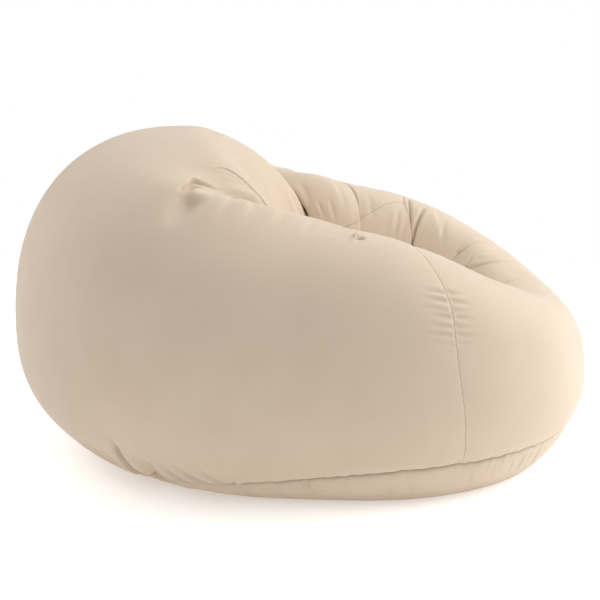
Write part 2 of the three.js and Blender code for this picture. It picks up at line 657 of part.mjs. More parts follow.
/** Pull tab: a flat tab with an eye round the slider's pull bar. */
function addZipPull() {
  const bore = BAIL_BAR_RADIUS + PULL_EYE_CLEARANCE;
  const eyeRadius = bore + PULL_EYE_WALL;
  const eye = barAlongY(eyeRadius, -PULL_EYE_WIDTH / 2, PULL_EYE_WIDTH / 2, 20);
  const neckStart = bore + PULL_EYE_WALL / 2;
  const neck = boxBetween(
    [neckStart, -PULL_EYE_WIDTH / 2, -PULL_THICKNESS / 2],
    [neckStart + PULL_WIDTH, PULL_EYE_WIDTH / 2, PULL_THICKNESS / 2],
  );
  const tabStart = neckStart + PULL_EYE_WIDTH;
  const tab = boxBetween(
    [tabStart, -PULL_WIDTH / 2, -PULL_THICKNESS / 2],
    [PULL_LENGTH, PULL_WIDTH / 2, PULL_THICKNESS / 2],
  );
  const boreTool = barAlongY(bore, -PULL_EYE_WIDTH, PULL_EYE_WIDTH, 20);
  const hole = cylinderBetween(PULL_HOLE_RADIUS, -PULL_THICKNESS, PULL_THICKNESS, 16)
    .translate(PULL_LENGTH - PULL_WIDTH / 2, 0, 0);
  const pull = cut(united(eye, neck, tab), boreTool, hole);
  pull.rotateZ(Math.PI).translate(SLIDER_X, ZIP_Y, PULL_BAR_Z);
  addMesh('zip_pull', pull, zipMetalMaterial());
}

const rightBounds = [FRONT_JOINT, FRONT_PLEAT, SIDE_SEAM, ARM_PLEAT, VALLEY, BACK];
const GORE_NAMES = ['front_corner', 'arm_front', 'arm_middle', 'arm_back', 'backrest'];

/** Bladder ring: welded gores from joint to joint. */
function addGores() {
  const wholeRow = [0, ROWS];
  const gore = (columns) => patchSheet({ columns, rows: wholeRow, rowsLoop: true }, BLADDER_DEPTH, BLADDER_INSIDE);
  addMesh('bladder_gore_front', gore([-FRONT_JOINT, FRONT_JOINT]), bladderMaterial());
  GORE_NAMES.forEach((name, k) => {
    const [from, to] = [rightBounds[k], rightBounds[k + 1]];
    let right = gore([from, to]);
    if (to === BACK) {
      const hole = atValve(cylinderBetween(TUBE_OUTER_RADIUS + GAP, -TUBE_DEPTH, TUBE_DEPTH));
      right = cut(right, hole);
    }
    addMesh(`bladder_gore_${name}_right`, right, bladderMaterial());
    addMesh(`bladder_gore_${name}_left`, gore([-to, -from]), bladderMaterial());
  });
}

const BAFFLE_VENT_SHARE = 0.35;

/** Baffle across one gore joint, with a vent hole in its middle. */
function baffle(column) {
  const rim = Array.from({ length: ROWS }, (_, row) => layerPoint(column, row, BAFFLE_RIM_DEPTH));
  const middle = rim.reduce((sum, point) => sum.add(point), new THREE.Vector3()).divideScalar(ROWS);
  const face = (sign) => rim.map((point, row) => {
    const ahead = layerPoint(column + 1, row, BAFFLE_RIM_DEPTH);
    const behind = layerPoint(column - 1, row, BAFFLE_RIM_DEPTH);
    const along = ahead.sub(behind).setZ(0).normalize().multiplyScalar(sign * BAFFLE_THICKNESS / 2);
    const vent = middle.clone().lerp(point, BAFFLE_VENT_SHARE);
    return [point.clone().add(along), vent.add(along)];
  });
  return sheet(face(-1), face(1), { columnsLoop: true });
}

/** Baffles at every gore joint. */
function addBaffles() {
  const names = ['front_corner', 'arm_front', 'side_seam', 'arm_pleat', 'crease', 'back'];
  rightBounds.forEach((column, k) => {
    if (column === BACK) {
      addMesh('bladder_baffle_back', baffle(BACK), bladderMaterial());
      return;
    }
    addMesh(`bladder_baffle_${names[k]}_right`, baffle(column), bladderMaterial());
    addMesh(`bladder_baffle_${names[k]}_left`, baffle(-column), bladderMaterial());
  });
}

const BUCKET_FLOOR = UPPER_PLATE_TOP + GAP;
const BUCKET_WALL_DEPTH = BLADDER_DEPTH - GAP;
const BUCKET_INSIDE = BUCKET_WALL_DEPTH - SKIN_THICKNESS;
const bucketFloorShares = [0.35, 0.7];
const SEAT_TOP_DROP = COVER_THICKNESS + GAP;

/** Rings of the bucket under the seat: down the inner wall, then in over the hollow base. */
function bucketRings(depth, floorHeight, topRow = SEAT_ROW) {
  const centre = new THREE.Vector3(0, SEAT_CENTRE_Y, floorHeight);
  const rings = [];
  for (let column = 0; column < COLUMNS; column += 1) {
    const ring = [];
    for (let row = topRow; row < INNER_FOOT_ROW; row += 1) ring.push(layerPoint(column, row, depth));
    const foot = ring[ring.length - 1];
    bucketFloorShares.forEach((share) => ring.push(foot.clone().lerp(centre, share).setZ(floorHeight)));
    ring[0].z = SEAT_RIM_HEIGHT - SEAT_TOP_DROP;
    rings.push(ring);
  }
  return { rings, centre };
}

/** Closed solid of the air between the seat chamber's two sheets, one gap clear of both. */
function seatAir() {
  const top = seatRings(BUCKET_INSIDE - GAP, SEAT_TOP_DROP + SKIN_THICKNESS + GAP);
  const bottom = bucketRings(BUCKET_INSIDE - GAP, BUCKET_FLOOR + SKIN_THICKNESS + GAP);
  const solid = new SolidBuilder();
  for (let i = 0; i < COLUMNS; i += 1) {
    const n = (i + 1) % COLUMNS;
    const upper = [top.rings[i], top.rings[n]];
    const lower = [bottom.rings[i].slice(1), bottom.rings[n].slice(1)];
    const lastUpper = upper[0].length - 1;
    const lastLower = lower[0].length - 1;
    for (let k = 0; k < lastUpper; k += 1) solid.quad(upper[0][k], upper[1][k], upper[1][k + 1], upper[0][k + 1]);
    solid.triangle(upper[0][lastUpper], upper[1][lastUpper], top.centre);
    solid.quad(lower[0][0], lower[1][0], upper[1][0], upper[0][0]);
    for (let k = 0; k < lastLower; k += 1) solid.quad(lower[1][k], lower[0][k], lower[0][k + 1], lower[1][k + 1]);
    solid.triangle(lower[1][lastLower], lower[0][lastLower], bottom.centre);
  }
  return solid.geometry();
}

/** Seat chamber: top sheet, bucket and two webs with vent holes. */
function addSeatChamber() {
  addMesh('cover_seat', seatSheet(-GAP, 0, COVER_THICKNESS), clothMaterial());
  const rimDepth = BUCKET_INSIDE - GAP;
  const topSheet = seatSheet(rimDepth, SEAT_TOP_DROP, SEAT_TOP_DROP + SKIN_THICKNESS);
  addMesh('bladder_seat_top', topSheet, bladderMaterial());
  const inside = bucketRings(BUCKET_INSIDE, BUCKET_FLOOR + SKIN_THICKNESS);
  const outside = bucketRings(BUCKET_WALL_DEPTH, BUCKET_FLOOR);
  const bucket = sheet(inside.rings, outside.rings, {
    columnsLoop: true,
    centres: { front: inside.centre, back: outside.centre },
  });
  addMesh('bladder_seat_bucket', bucket, bladderMaterial());
  const air = toSolid(seatAir());
  [['front', -1], ['back', 1]].forEach(([side, sign]) => {
    const y = SEAT_CENTRE_Y + sign * WEB_SPACING / 2;
    const web = toSolid(boxBetween(
      [-WEB_LENGTH / 2, y - WEB_THICKNESS / 2, 0],
      [WEB_LENGTH / 2, y + WEB_THICKNESS / 2, OVERALL_HEIGHT],
    ));
    const vents = [-1, 0, 1].map((place) => toSolid(
      barAlongY(WEB_VENT_RADIUS, -WEB_THICKNESS, WEB_THICKNESS, 16)
        .translate(place * WEB_VENT_SPACING, y, (SEAT_RIM_HEIGHT + BUCKET_FLOOR) / 2),
    ));
    const vented = vents.reduce((sum, vent) => sum.subtract(vent), web.intersect(air));
    addMesh(`bladder_seat_web_${side}`, toGeometry(vented), bladderMaterial());
  });
}

// Levels of the valve along its own outward axis, from the bladder's face
const FLANGE_BOTTOM = GAP;
const FLANGE_TOP = FLANGE_BOTTOM + FLANGE_THICKNESS;
const TUBE_TOP = FLANGE_TOP + TUBE_LIP;
const CAP_BOTTOM = TUBE_TOP + GAP;
const FLAP_TOP = -TUBE_DEPTH - GAP;
const HINGE_Z = FLANGE_TOP + GAP + HINGE_RADIUS;

/** Valve: welded flange with hinge lugs, body with spokes, non-return flap and hinged cap. */
function addValve() {
  const flangeRing = cut(
    cylinderBetween(FLANGE_RADIUS, FLANGE_BOTTOM, FLANGE_TOP, 40),
    cylinderBetween(TUBE_OUTER_RADIUS + GAP, -FLANGE_TOP, 2 * FLANGE_TOP, 40),
  );
  const lugs = [-1, 1].map((sign) => {
    const inner = sign * (CAP_ARM_WIDTH / 2 + GAP);
    const outer = inner + sign * LUG_LENGTH;
    return boxBetween(
      [Math.min(inner, outer), HINGE_OFFSET - LUG_THICKNESS / 2, FLANGE_TOP - FLANGE_THICKNESS / 2],
      [Math.max(inner, outer), HINGE_OFFSET + LUG_THICKNESS / 2, HINGE_Z + HINGE_RADIUS],
    );
  });
  addMesh('valve_flange', atValve(united(flangeRing, ...lugs)), valveMaterial());

  const tube = cut(
    cylinderBetween(TUBE_OUTER_RADIUS, -TUBE_DEPTH, TUBE_TOP, 40),
    cylinderBetween(TUBE_BORE_RADIUS, -2 * TUBE_DEPTH, 2 * TUBE_DEPTH, 32),
  );
  const spokeReach = (TUBE_BORE_RADIUS + TUBE_OUTER_RADIUS) / 2;
  const spokes = [0, 60, 120].map((turn) => boxBetween(
    [-spokeReach, -SPOKE_WIDTH / 2, -TUBE_DEPTH],
    [spokeReach, SPOKE_WIDTH / 2, -TUBE_DEPTH + SPOKE_HEIGHT],
  ).rotateZ(rad(turn)));
  addMesh('valve_body', atValve(united(tube, ...spokes)), valveMaterial());

  const flap = cylinderBetween(FLAP_RADIUS, FLAP_TOP - FLAP_THICKNESS, FLAP_TOP, 28);
  addMesh('valve_flap', atValve(flap), rubberMaterial());

  const disc = cylinderBetween(CAP_RADIUS, CAP_BOTTOM, CAP_BOTTOM + CAP_THICKNESS, 36);
  const plugRadius = TUBE_BORE_RADIUS - 2 * GAP;
  const plug = cylinderBetween(plugRadius, CAP_BOTTOM - PLUG_DEPTH, CAP_BOTTOM + CAP_THICKNESS / 2, 32,
    plugRadius - PLUG_TAPER);
  const arm = boxBetween(
    [-CAP_ARM_WIDTH / 2, 0, CAP_BOTTOM],
    [CAP_ARM_WIDTH / 2, HINGE_OFFSET, CAP_BOTTOM + HINGE_RADIUS],
  );
  const barrel = new THREE.CylinderGeometry(HINGE_RADIUS, HINGE_RADIUS, CAP_ARM_WIDTH, 16)
    .rotateZ(Math.PI / 2).translate(0, HINGE_OFFSET, HINGE_Z);
  addMesh('valve_cap', atValve(united(disc, plug, arm, barrel)), valveMaterial());
}

addCoverPanels();
addBasePanel();
addZipChain();
addZipSlider();
addZipPull();
addGores();
addBaffles();
addSeatChamber();
addValve();

export default chair;
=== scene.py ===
"""Looks of a round inflatable armchair in a sewn cloth cover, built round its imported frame.

Metres, +Z up. The front faces -Y. Every cloth panel and every sheet of the bladder is a layer of one free
surface, the skin. An angle of 0 is the front, 90 the right arm, -90 the left one and 180 the back; a turn
of 0 points outwards, 90 up, 180 to the seat and 270 down.
"""

import json
import logging
import math
from dataclasses import dataclass, field
from enum import Enum
from typing import Callable, Optional, Sequence

import bpy
import numpy as np
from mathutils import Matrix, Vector
from mathutils.kdtree import KDTree

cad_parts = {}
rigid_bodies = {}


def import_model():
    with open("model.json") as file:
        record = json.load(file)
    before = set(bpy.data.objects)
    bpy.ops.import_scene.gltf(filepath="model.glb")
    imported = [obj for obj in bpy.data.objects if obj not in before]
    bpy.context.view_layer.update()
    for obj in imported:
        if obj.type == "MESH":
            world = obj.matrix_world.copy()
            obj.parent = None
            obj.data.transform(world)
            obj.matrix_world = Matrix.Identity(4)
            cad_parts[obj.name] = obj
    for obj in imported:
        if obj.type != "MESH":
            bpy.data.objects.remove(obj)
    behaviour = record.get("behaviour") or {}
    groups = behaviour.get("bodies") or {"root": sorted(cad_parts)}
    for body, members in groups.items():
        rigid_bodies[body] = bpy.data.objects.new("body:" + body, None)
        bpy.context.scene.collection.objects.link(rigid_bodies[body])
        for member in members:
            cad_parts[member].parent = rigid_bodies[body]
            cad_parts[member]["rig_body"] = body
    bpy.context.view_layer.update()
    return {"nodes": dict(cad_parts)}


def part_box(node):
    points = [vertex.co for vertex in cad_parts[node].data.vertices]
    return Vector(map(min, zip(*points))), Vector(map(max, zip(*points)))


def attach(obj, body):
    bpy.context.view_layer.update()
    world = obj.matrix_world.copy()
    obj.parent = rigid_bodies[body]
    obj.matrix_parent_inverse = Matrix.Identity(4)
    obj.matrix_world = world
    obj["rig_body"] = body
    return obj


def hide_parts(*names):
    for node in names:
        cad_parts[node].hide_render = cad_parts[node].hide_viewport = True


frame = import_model()

log = logging.getLogger("armchair")
Array = np.ndarray
Node = bpy.types.Node
Socket = bpy.types.NodeSocket
Tree = bpy.types.NodeTree
Piece = bpy.types.Object
MM = 0.001
BLOCK = 6000  # places measured at once


def ramp(low: float, high: float, value: Array) -> Array:
    """Smooth step from 0 at low to 1 at high.

    Args:
        low: Where it starts.
        high: Where it ends.
        value: Places to read it at.

    Returns:
        The step's height at each place.
    """
    share = np.clip((np.asarray(value, float) - low) / (high - low), 0, 1)
    return share * share * (3 - 2 * share)


def hump(value: Array, middle: float = 0.0, reach: float = 1.0) -> Array:
    """Bell curve that is 1 at its middle."""
    return np.exp(-(((value - middle) / reach) ** 2))


def unit(vectors: Array) -> Array:
    """Vectors of length one along the last axis."""
    return vectors / np.maximum(np.linalg.norm(vectors, axis=-1, keepdims=True), 1e-12)


def eased(knots: Array, values: Array, slopes: Array, span: Array, place: Array) -> Array:
    """Smooth curve through values at knots with given slopes, read at places in the numbered spans."""
    width = knots[span + 1] - knots[span]
    u = (place - knots[span]) / width
    rise = u * u * (3 - 2 * u)
    straight = values[span] * (1 - rise) + values[span + 1] * rise
    return straight + width * (slopes[span] * u * (1 - u) ** 2 - slopes[span + 1] * u * u * (1 - u))


# ---- skin ----


@dataclass(frozen=True)
class Skin:
    """The free surface that all sheets of the chair follow, with its sizes and formulas as in the solids.

    The tables give, at each of the section angles, shares of the length (radii) or of the height (heights).
    """

    length: float = 1.111
    height: float = 0.624
    floor_sink: float = 0.013
    seat_rim: float = 0.225
    angles: tuple = (0, 30, 60, 90, 112, 130, 146, 162, 180)
    core_radius: tuple = (0.219, 0.230, 0.266, 0.309, 0.329, 0.364, 0.387, 0.390, 0.390)
    core_height: tuple = (0.248, 0.263, 0.309, 0.380, 0.428, 0.468, 0.450, 0.426, 0.427)
    outward: tuple = (0.097, 0.104, 0.127, 0.162, 0.202, 0.252, 0.273, 0.291, 0.294)
    inward: tuple = (0.105, 0.107, 0.113, 0.121, 0.129, 0.137, 0.148, 0.164, 0.169)
    upward: tuple = (0.237, 0.253, 0.287, 0.337, 0.353, 0.410, 0.488, 0.549, 0.573)
    lower_roundness: tuple = (1.69, 1.68, 1.71, 1.80, 1.97, 2.13, 2.23, 2.27, 2.27)
    upper_roundness: float = 2.38
    inner_roundness: float = 2.1
    crease_share: float = 0.42
    crease_reach: float = 7.7
    joint_angle: float = 18
    front_pleat: float = 60
    soft_pleat: float = 49.5
    arm_pleat: float = 110
    pleat_depth: float = 9 * MM
    soft_pleat_depth: float = 5 * MM
    pleat_reach: float = 3.0
    outer_low: float = -88.0
    arm_turn: float = 97.0
    seat_turns: tuple = (120.0, 262.0)
    inner_turns: tuple = (190.0, 268.0)
    front_share: float = 0.55
    column_keys: tuple = (0, 2, 6, 9, 12, 15, 20)
    row_keys: tuple = (0, 10, 12, 14, 17, 18, 20)

    def curve(self, shares: Sequence[float], angle: Array) -> Array:
        """Smooth curve through a table at the section angles, level at the front and the back."""
        knots, values = np.array(self.angles, float), np.array(shares, float)
        slopes = np.zeros_like(values)
        slopes[1:-1] = (values[2:] - values[:-2]) / (knots[2:] - knots[:-2])
        span = np.clip(np.searchsorted(knots, angle, side="left") - 1, 0, len(values) - 2)
        return eased(knots, values, slopes, span, angle)

    @property
    def axis_y(self) -> float:
        """Y of the upright axis that the ring goes round."""
        front = self.curve(self.core_radius, 0.0) + self.curve(self.outward, 0.0)
        back = self.curve(self.core_radius, 180.0) + self.curve(self.outward, 180.0)
        return float(front - back) * self.length / 2

    @property
    def seat_y(self) -> float:
        """Y of the middle of the seat."""
        back = self.curve(self.core_radius, 180.0) - self.curve(self.inward, 180.0)
        front = self.curve(self.core_radius, 0.0) - self.curve(self.inward, 0.0)
        return self.axis_y + float(back - front) * self.length / 2

    def seam_angle(self, turn: Array) -> Array:
        """Angle of the side seam at a turn."""
        rise = 3.5 * ramp(-50, 40, turn) + 8 * ramp(35, 105, turn)
        return 78.5 + rise - 5 * ramp(95, 125, turn) - 6.5 * ramp(190, 265, turn)

    def arm_seam_turn(self, angle: Array) -> Array:
        """Turn at which the side panels meet the inner panels."""
        return self.arm_turn + 43 * ramp(80, 132, angle)

    def base_seam_height(self, angle: Array) -> Array:
        """Height of the seam between the sides and the base."""
        return 0.075 - 0.053 * ramp(85, 150, angle)

    def valley_angle(self, turn: Array) -> Array:
        """Angle of the crease between arm and backrest at a turn."""
        return 137 - 10 * ramp(66, 118, turn) * (1 - ramp(200, 265, turn))

    def pleats(self, angle: Array, turn: Array) -> Array:
        """Depth of the pleats on the inner wall: two and the side seam's are sharp, and one is soft."""
        first, last = np.abs(angle - self.front_pleat), np.abs(angle - self.arm_pleat)
        nearest = np.minimum(np.minimum(first, np.abs(angle - self.seam_angle(turn))), last)
        soft = self.soft_pleat_depth * np.exp(-np.abs(angle - self.soft_pleat) / self.pleat_reach)
        return np.maximum(self.pleat_depth * np.exp(-nearest / self.pleat_reach), soft)

    def free_point(self, signed: Array, turn: Array) -> Array:
        """Points at signed angles and turns, before the floor flattens them."""
        signed, turn = np.broadcast_arrays(np.asarray(signed, float), np.asarray(turn, float))
        angle = np.abs((signed + 180) % 360 - 180)
        out, up = np.cos(np.radians(turn)), np.sin(np.radians(turn))
        core_height = self.curve(self.core_height, angle) * self.height
        level = np.where(out >= 0, self.curve(self.outward, angle), self.curve(self.inward, angle)) * self.length
        upright = np.where(up >= 0, self.curve(self.upward, angle) * self.height, core_height + self.floor_sink)
        low = self.curve(self.lower_roundness, angle)
        bent = low + (self.upper_roundness - low) * ramp(-0.7, 0.7, up)
        power = np.where(out >= 0, bent, self.inner_roundness)
        reach = (np.abs(out / level) ** power + np.abs(up / upright) ** power) ** (-1 / power)
        away = np.hypot(angle - self.valley_angle(turn), 1)
        crease = self.crease_share * np.exp(-away / self.crease_reach)
        crease = crease * ramp(60, 100, turn) * (1 - ramp(165, 215, turn))
        pleat = self.pleats(angle, turn) * ramp(85, 125, turn) * (1 - ramp(185, 230, turn))
        drawn = reach * (1 - crease) - pleat
        radius = self.curve(self.core_radius, angle) * self.length + drawn * out
        across, along = np.sin(np.radians(signed)), np.cos(np.radians(signed))
        return np.stack([radius * across, self.axis_y - radius * along, core_height + drawn * up], -1)

    def frame_at(self, signed: Array, turn: Array) -> tuple:
        """Points and outward normals at signed angles and turns."""
        step = 0.2
        around = (self.free_point(signed + step, turn) - self.free_point(signed - step, turn)) / (2 * step)
        over = (self.free_point(signed, turn + step) - self.free_point(signed, turn - step)) / (2 * step)
        return self.free_point(signed, turn), unit(np.cross(around, over))

    def angle_at(self, column: Array, turn: Array) -> Array:
        """Signed angle of a column of the solids' grid at a turn. Columns run from the front round by +X."""
        column, turn = np.broadcast_arrays(np.asarray(column, float), np.asarray(turn, float))
        signed = (column + 20) % 40 - 20
        signed = np.where((signed == -20) & (column > 0), 20.0, signed)
        step = np.abs(signed)
        keys = self.column_keys
        marks = [0, self.joint_angle, self.front_pleat, self.seam_angle(turn), self.arm_pleat,
                 self.valley_angle(turn), 180]
        angle = np.zeros_like(step)
        for part, (first, last) in enumerate(zip(keys, keys[1:])):
            share = (step - first) / (last - first)
            value = marks[part] + (np.asarray(marks[part + 1]) - marks[part]) * share
            angle = np.where((step >= first) & (step <= last), value, angle)
        return np.where(signed < 0, -angle, angle)

    def turn_at(self, column: Array, height: Array, low: Array, high: Array) -> Array:
        """Turns between two turns at which columns pass a height."""
        column = np.asarray(column, float)
        low, high = (np.broadcast_to(end, column.shape).astype(float) for end in (low, high))

        def at(turn: Array) -> Array:
            return self.free_point(self.angle_at(column, turn), turn)[..., 2]

        rising = at(high) > at(low)
        for _ in range(30):
            middle = (low + high) / 2
            under = (at(middle) < height) == rising
            low, high = np.where(under, middle, low), np.where(under, high, middle)
        return (low + high) / 2

    def turns(self, column: Array, row: Array) -> Array:
        """Turns of rows of the solids' grid, as an array of columns by rows."""
        column = np.asarray(column, float)
        seam_height = self.base_seam_height(np.abs(self.angle_at(column, self.outer_low)))
        base = self.turn_at(column, seam_height, self.outer_low, 0.0)
        arm = self.arm_seam_turn(np.abs(self.angle_at(column, self.arm_turn)))
        seat = self.turn_at(column, self.seat_rim, *self.seat_turns)
        inner = self.turn_at(column, 0.0, *self.inner_turns)
        outer = self.turn_at(column, 0.0, self.outer_low, base) + 360
        front = arm + (seat - arm) * self.front_share
        keys = np.stack([base, arm, front, seat, inner, outer, base + 360], -1)
        row = np.asarray(row, float)
        part = np.clip(np.searchsorted(self.row_keys, row, side="right") - 1, 0, 5)
        first, last = np.array(self.row_keys)[part], np.array(self.row_keys)[part + 1]
        share = (row - first) / (last - first)
        return keys[:, part] + (keys[:, part + 1] - keys[:, part]) * share

    def patch(self, columns: Array, rows: Array) -> "Patch":
        """Points of the skin on a part of the solids' grid, at any fineness."""
        turn = self.turns(columns, rows)
        turn = np.where(turn > 270, turn - 360, turn)
        angle = self.angle_at(np.asarray(columns, float)[:, None], turn)
        point, normal = self.frame_at(angle, turn)
        on_floor = point[..., 2] < 0
        point[..., 2] = np.maximum(point[..., 2], 0)
        normal[on_floor] = (0, 0, -1)
        return Patch(angle, turn, point, normal)


@dataclass
class Patch:
    """A grid of places on the skin, columns first."""

    angle: Array
    turn: Array
    point: Array
    normal: Array

    def layer(self, lift: Array, depth: float = 0.0) -> Array:
        """Points lifted along the normals, then sunk by a depth. They stay that depth above the floor."""
        points = self.point + self.normal * (np.asarray(lift) - depth)[..., None]
        points[..., 2] = np.maximum(points[..., 2], depth)
        return points


SKIN = Skin()

# Columns and rows of the solids' grid where panels and gores meet
FRONT_JOINT, FRONT_PLEAT, SIDE_SEAM, ARM_PLEAT, VALLEY, BACK, ROUND = 2, 6, 9, 12, 15, 20, 40
BASE_ROW, ARM_ROW, FRONT_ROW, SEAT_ROW, INNER_FOOT, OUTER_FOOT, LOOP = 0, 10, 12, 14, 17, 18, 20


# ---- relief: what seams, pleats and wrinkles do to the cloth ----


class Press(Enum):
    """Cross-sections that a line presses into cloth."""

    PLEAT = "a sharp valley with full shoulders"
    WRINKLE = "a soft hollow with a ridge on its left"
    LAP = "the left side laps over the right one"
    RIDGE = "a thin raised edge"
    HOLLOW = "a soft round hollow"


class Side(Enum):
    """Sides of the chair that a fold is on."""

    NEAR = -1
    FAR = 1


class Line:
    """A line drawn on the skin, against which places are measured."""

    def __init__(self, points: Array) -> None:
        """Keeps the line's points in order."""
        self.start, self.step = points[:-1], np.diff(points, axis=0)
        self.low, self.high = points.min(0), points.max(0)
        sizes = np.linalg.norm(self.step, axis=1)
        self.before = np.concatenate([[0], np.cumsum(sizes)[:-1]])
        self.sizes, self.length = sizes, float(sizes.sum())

    @classmethod
    def on_skin(cls, path: Sequence[tuple], steps: int = 24) -> "Line":
        """Line through signed angles and turns, smoothed between them."""
        path = np.array(path, float)
        marks = np.linspace(0, 1, len(path))
        places = np.linspace(0, 1, steps + 1)
        smooth = [smooth_through(marks, path[:, k], places) for k in (0, 1)]
        return cls(SKIN.free_point(*smooth))

    def measure(self, point: Array, normal: Array, reach: float) -> tuple:
        """Measures places near the line.

        Args:
            point: Places, one a row.
            normal: Their outward normals.
            reach: How far from the line a place still counts.

        Returns:
            Indices of the places that count, and for each its signed distance (left of the line is
            positive as seen from outside), how far along the line it is, and the direction to the left.
        """
        inside = np.all((point > self.low - reach) & (point < self.high + reach), axis=-1)
        index = np.flatnonzero(inside)
        across, along, left = np.zeros(len(index)), np.zeros(len(index)), np.zeros((len(index), 3))
        for first in range(0, len(index), BLOCK):
            here = slice(first, first + BLOCK)
            rows = index[here]
            away = point[rows][:, None] - self.start[None]
            share = np.clip((away * self.step).sum(-1) / np.maximum(self.sizes**2, 1e-12), 0, 1)
            away -= share[..., None] * self.step
            gap = (away**2).sum(-1)
            best = gap.argmin(1)
            pick = np.arange(len(rows)), best
            side = np.sign((np.cross(self.step[best], away[pick]) * normal[rows]).sum(-1))
            left[here] = unit(np.cross(normal[rows], self.step[best]))
            across[here] = np.sqrt(gap[pick]) * np.where(side == 0, 1, side)
            along[here] = self.before[best] + share[pick] * self.sizes[best]
        close = np.abs(across) < reach
        return index[close], across[close], along[close], left[close]


def smooth_through(marks: Array, values: Array, places: Array) -> Array:
    """Cubic curve through values at marks, read at places."""
    if len(marks) < 3:
        return np.interp(places, marks, values)
    span = np.clip(np.searchsorted(marks, places, side="right") - 1, 0, len(marks) - 2)
    return eased(marks, values, np.gradient(values, marks), span, places)


@dataclass(frozen=True)
class Fold:
    """One pleat or wrinkle: its line on one side of the chair, and what it presses in.

    The path is in degrees of angle, without its sign, and of turn. The other side of the chair has the
    same fold a little moved, unless it is alone.
    """

    path: tuple
    depth: float
    reach: float
    press: Press = Press.WRINKLE
    side: Side = Side.NEAR
    fade: tuple = (0.25, 0.25)
    alone: bool = False
    broad: bool = False
    lap: float = 0.0

    def lines(self, number: int) -> list:
        """The fold's line on its own side, and its moved copy on the other one."""
        own = self.side.value
        made = [(Line.on_skin([(own * a, t) for a, t in self.path]), own, 1.0)]
        if not self.alone:
            chance = np.random.default_rng(900 + number)
            shift = chance.normal(0, (0.5, 1.2)) + (0, 6 if self.side is Side.FAR else 0)
            size = chance.uniform(0.75, 1.1)
            path = [(-own * (a + shift[0]), t + shift[1]) for a, t in self.path]
            made.append((Line.on_skin(path), -own, size))
        return made

    def lift(self, across: Array, along: Array, length: float, size: float) -> Array:
        """Height of the pressed cloth beside the line.

        Args:
            across: Signed distances from the line.
            along: Distances along it.
            length: The line's own length.
            size: Share of the full depth.

        Returns:
            Heights over the smooth skin, in metres.
        """
        s, w, h = across / self.reach, np.abs(across) / self.reach, self.depth * size
        if self.press is Press.PLEAT:
            lift = -h * np.exp(-w) + 0.15 * h * hump(w, 2.6, 1.5)
        elif self.press is Press.WRINKLE:
            lift = -h * hump(s) + 0.6 * h * hump(s, 2.0, 1.2)
        elif self.press is Press.LAP:
            left = 1 / (1 + np.exp(np.clip(-s * 4, -30, 30)))
            lift = h * (0.55 * left * np.exp(-w / 2.4) - (1 - left) * np.exp(-w))
        else:
            lift = (h if self.press is Press.RIDGE else -h) * hump(s)
        return lift * self.ends(along / length)

    def slide(self, across: Array, along: Array, length: float, size: float) -> Array:
        """How far the cloth left of the line slides over the line, in metres, at the same places."""
        left = ramp(-0.1, 0.1, across / self.reach)
        return -self.lap * size * left * np.exp(-np.abs(across) / (1.6 * self.reach)) * self.ends(along / length)

    def ends(self, share: Array) -> Array:
        """How strong the fold is at each share of its length."""
        first, last = (max(fade, 1e-6) for fade in self.fade)
        return ramp(-1e-6, first, share) * ramp(-1e-6, last, 1 - share)


@dataclass(frozen=True)
class Seam:
    """A plain seam: stitches pull the cloth into a groove, and short puckers stand across it."""

    line: Callable
    groove: float = 0.7 * MM
    groove_reach: float = 1.6 * MM
    hollow: float = 0.8 * MM
    hollow_reach: float = 14 * MM
    pucker: float = 1.0 * MM
    pucker_reach: float = 12 * MM
    spacing: tuple = (13 * MM, 27 * MM)
    width: float = 3.2 * MM
    seed: int = 1
    scallop: float = 0.0
    scallop_reach: float = 9 * MM
    stitch: float = 3 * MM

    def press(self, point: Array, normal: Array, lift: Array, slide: Array) -> None:
        """Adds the seam's own relief to the heights and the sideways moves of places."""
        line = self.line()
        index, across, along, left = line.measure(point, normal, 5 * self.pucker_reach)
        w = np.abs(across)
        added = -self.groove * np.exp(-w / self.groove_reach) - self.hollow * hump(w, 0, self.hollow_reach)
        chance = np.random.default_rng(self.seed)
        place = chance.uniform(*self.spacing) / 2
        near_stitch = 1 - np.exp(-w / self.stitch)
        while place < line.length:
            tall, reach = chance.uniform(0.35, 1.0), self.pucker_reach * chance.uniform(0.55, 1.35)
            lean, width = chance.normal(0, 0.12), self.width * chance.uniform(0.8, 1.4)
            away = (along - place - lean * w) / width
            bump = hump(away) - 0.55 * hump(away, 1.7) - 0.25 * hump(away, -1.7)
            added += self.pucker * tall * bump * np.exp(-((w / reach) ** 1.5)) * near_stitch
            wave = self.scallop * tall * hump(away, 0, 1.6) * hump(w, 0, self.scallop_reach)
            slide[index] += left * wave[:, None]
            place += chance.uniform(*self.spacing)
        lift[index] += added


def grid_line(columns: Sequence[float], rows: Sequence[float], steps: int) -> Callable:
    """Maker of a line along the solids' grid, from a first to a last column or row."""

    def make() -> Line:
        if columns[0] == columns[1]:
            place = SKIN.patch(np.array([columns[0]]), np.linspace(*rows, steps + 1))
            return Line(place.point[0])
        place = SKIN.patch(np.linspace(*columns, steps + 1), np.array([rows[0]]))
        return Line(place.point[:, 0])

    return make


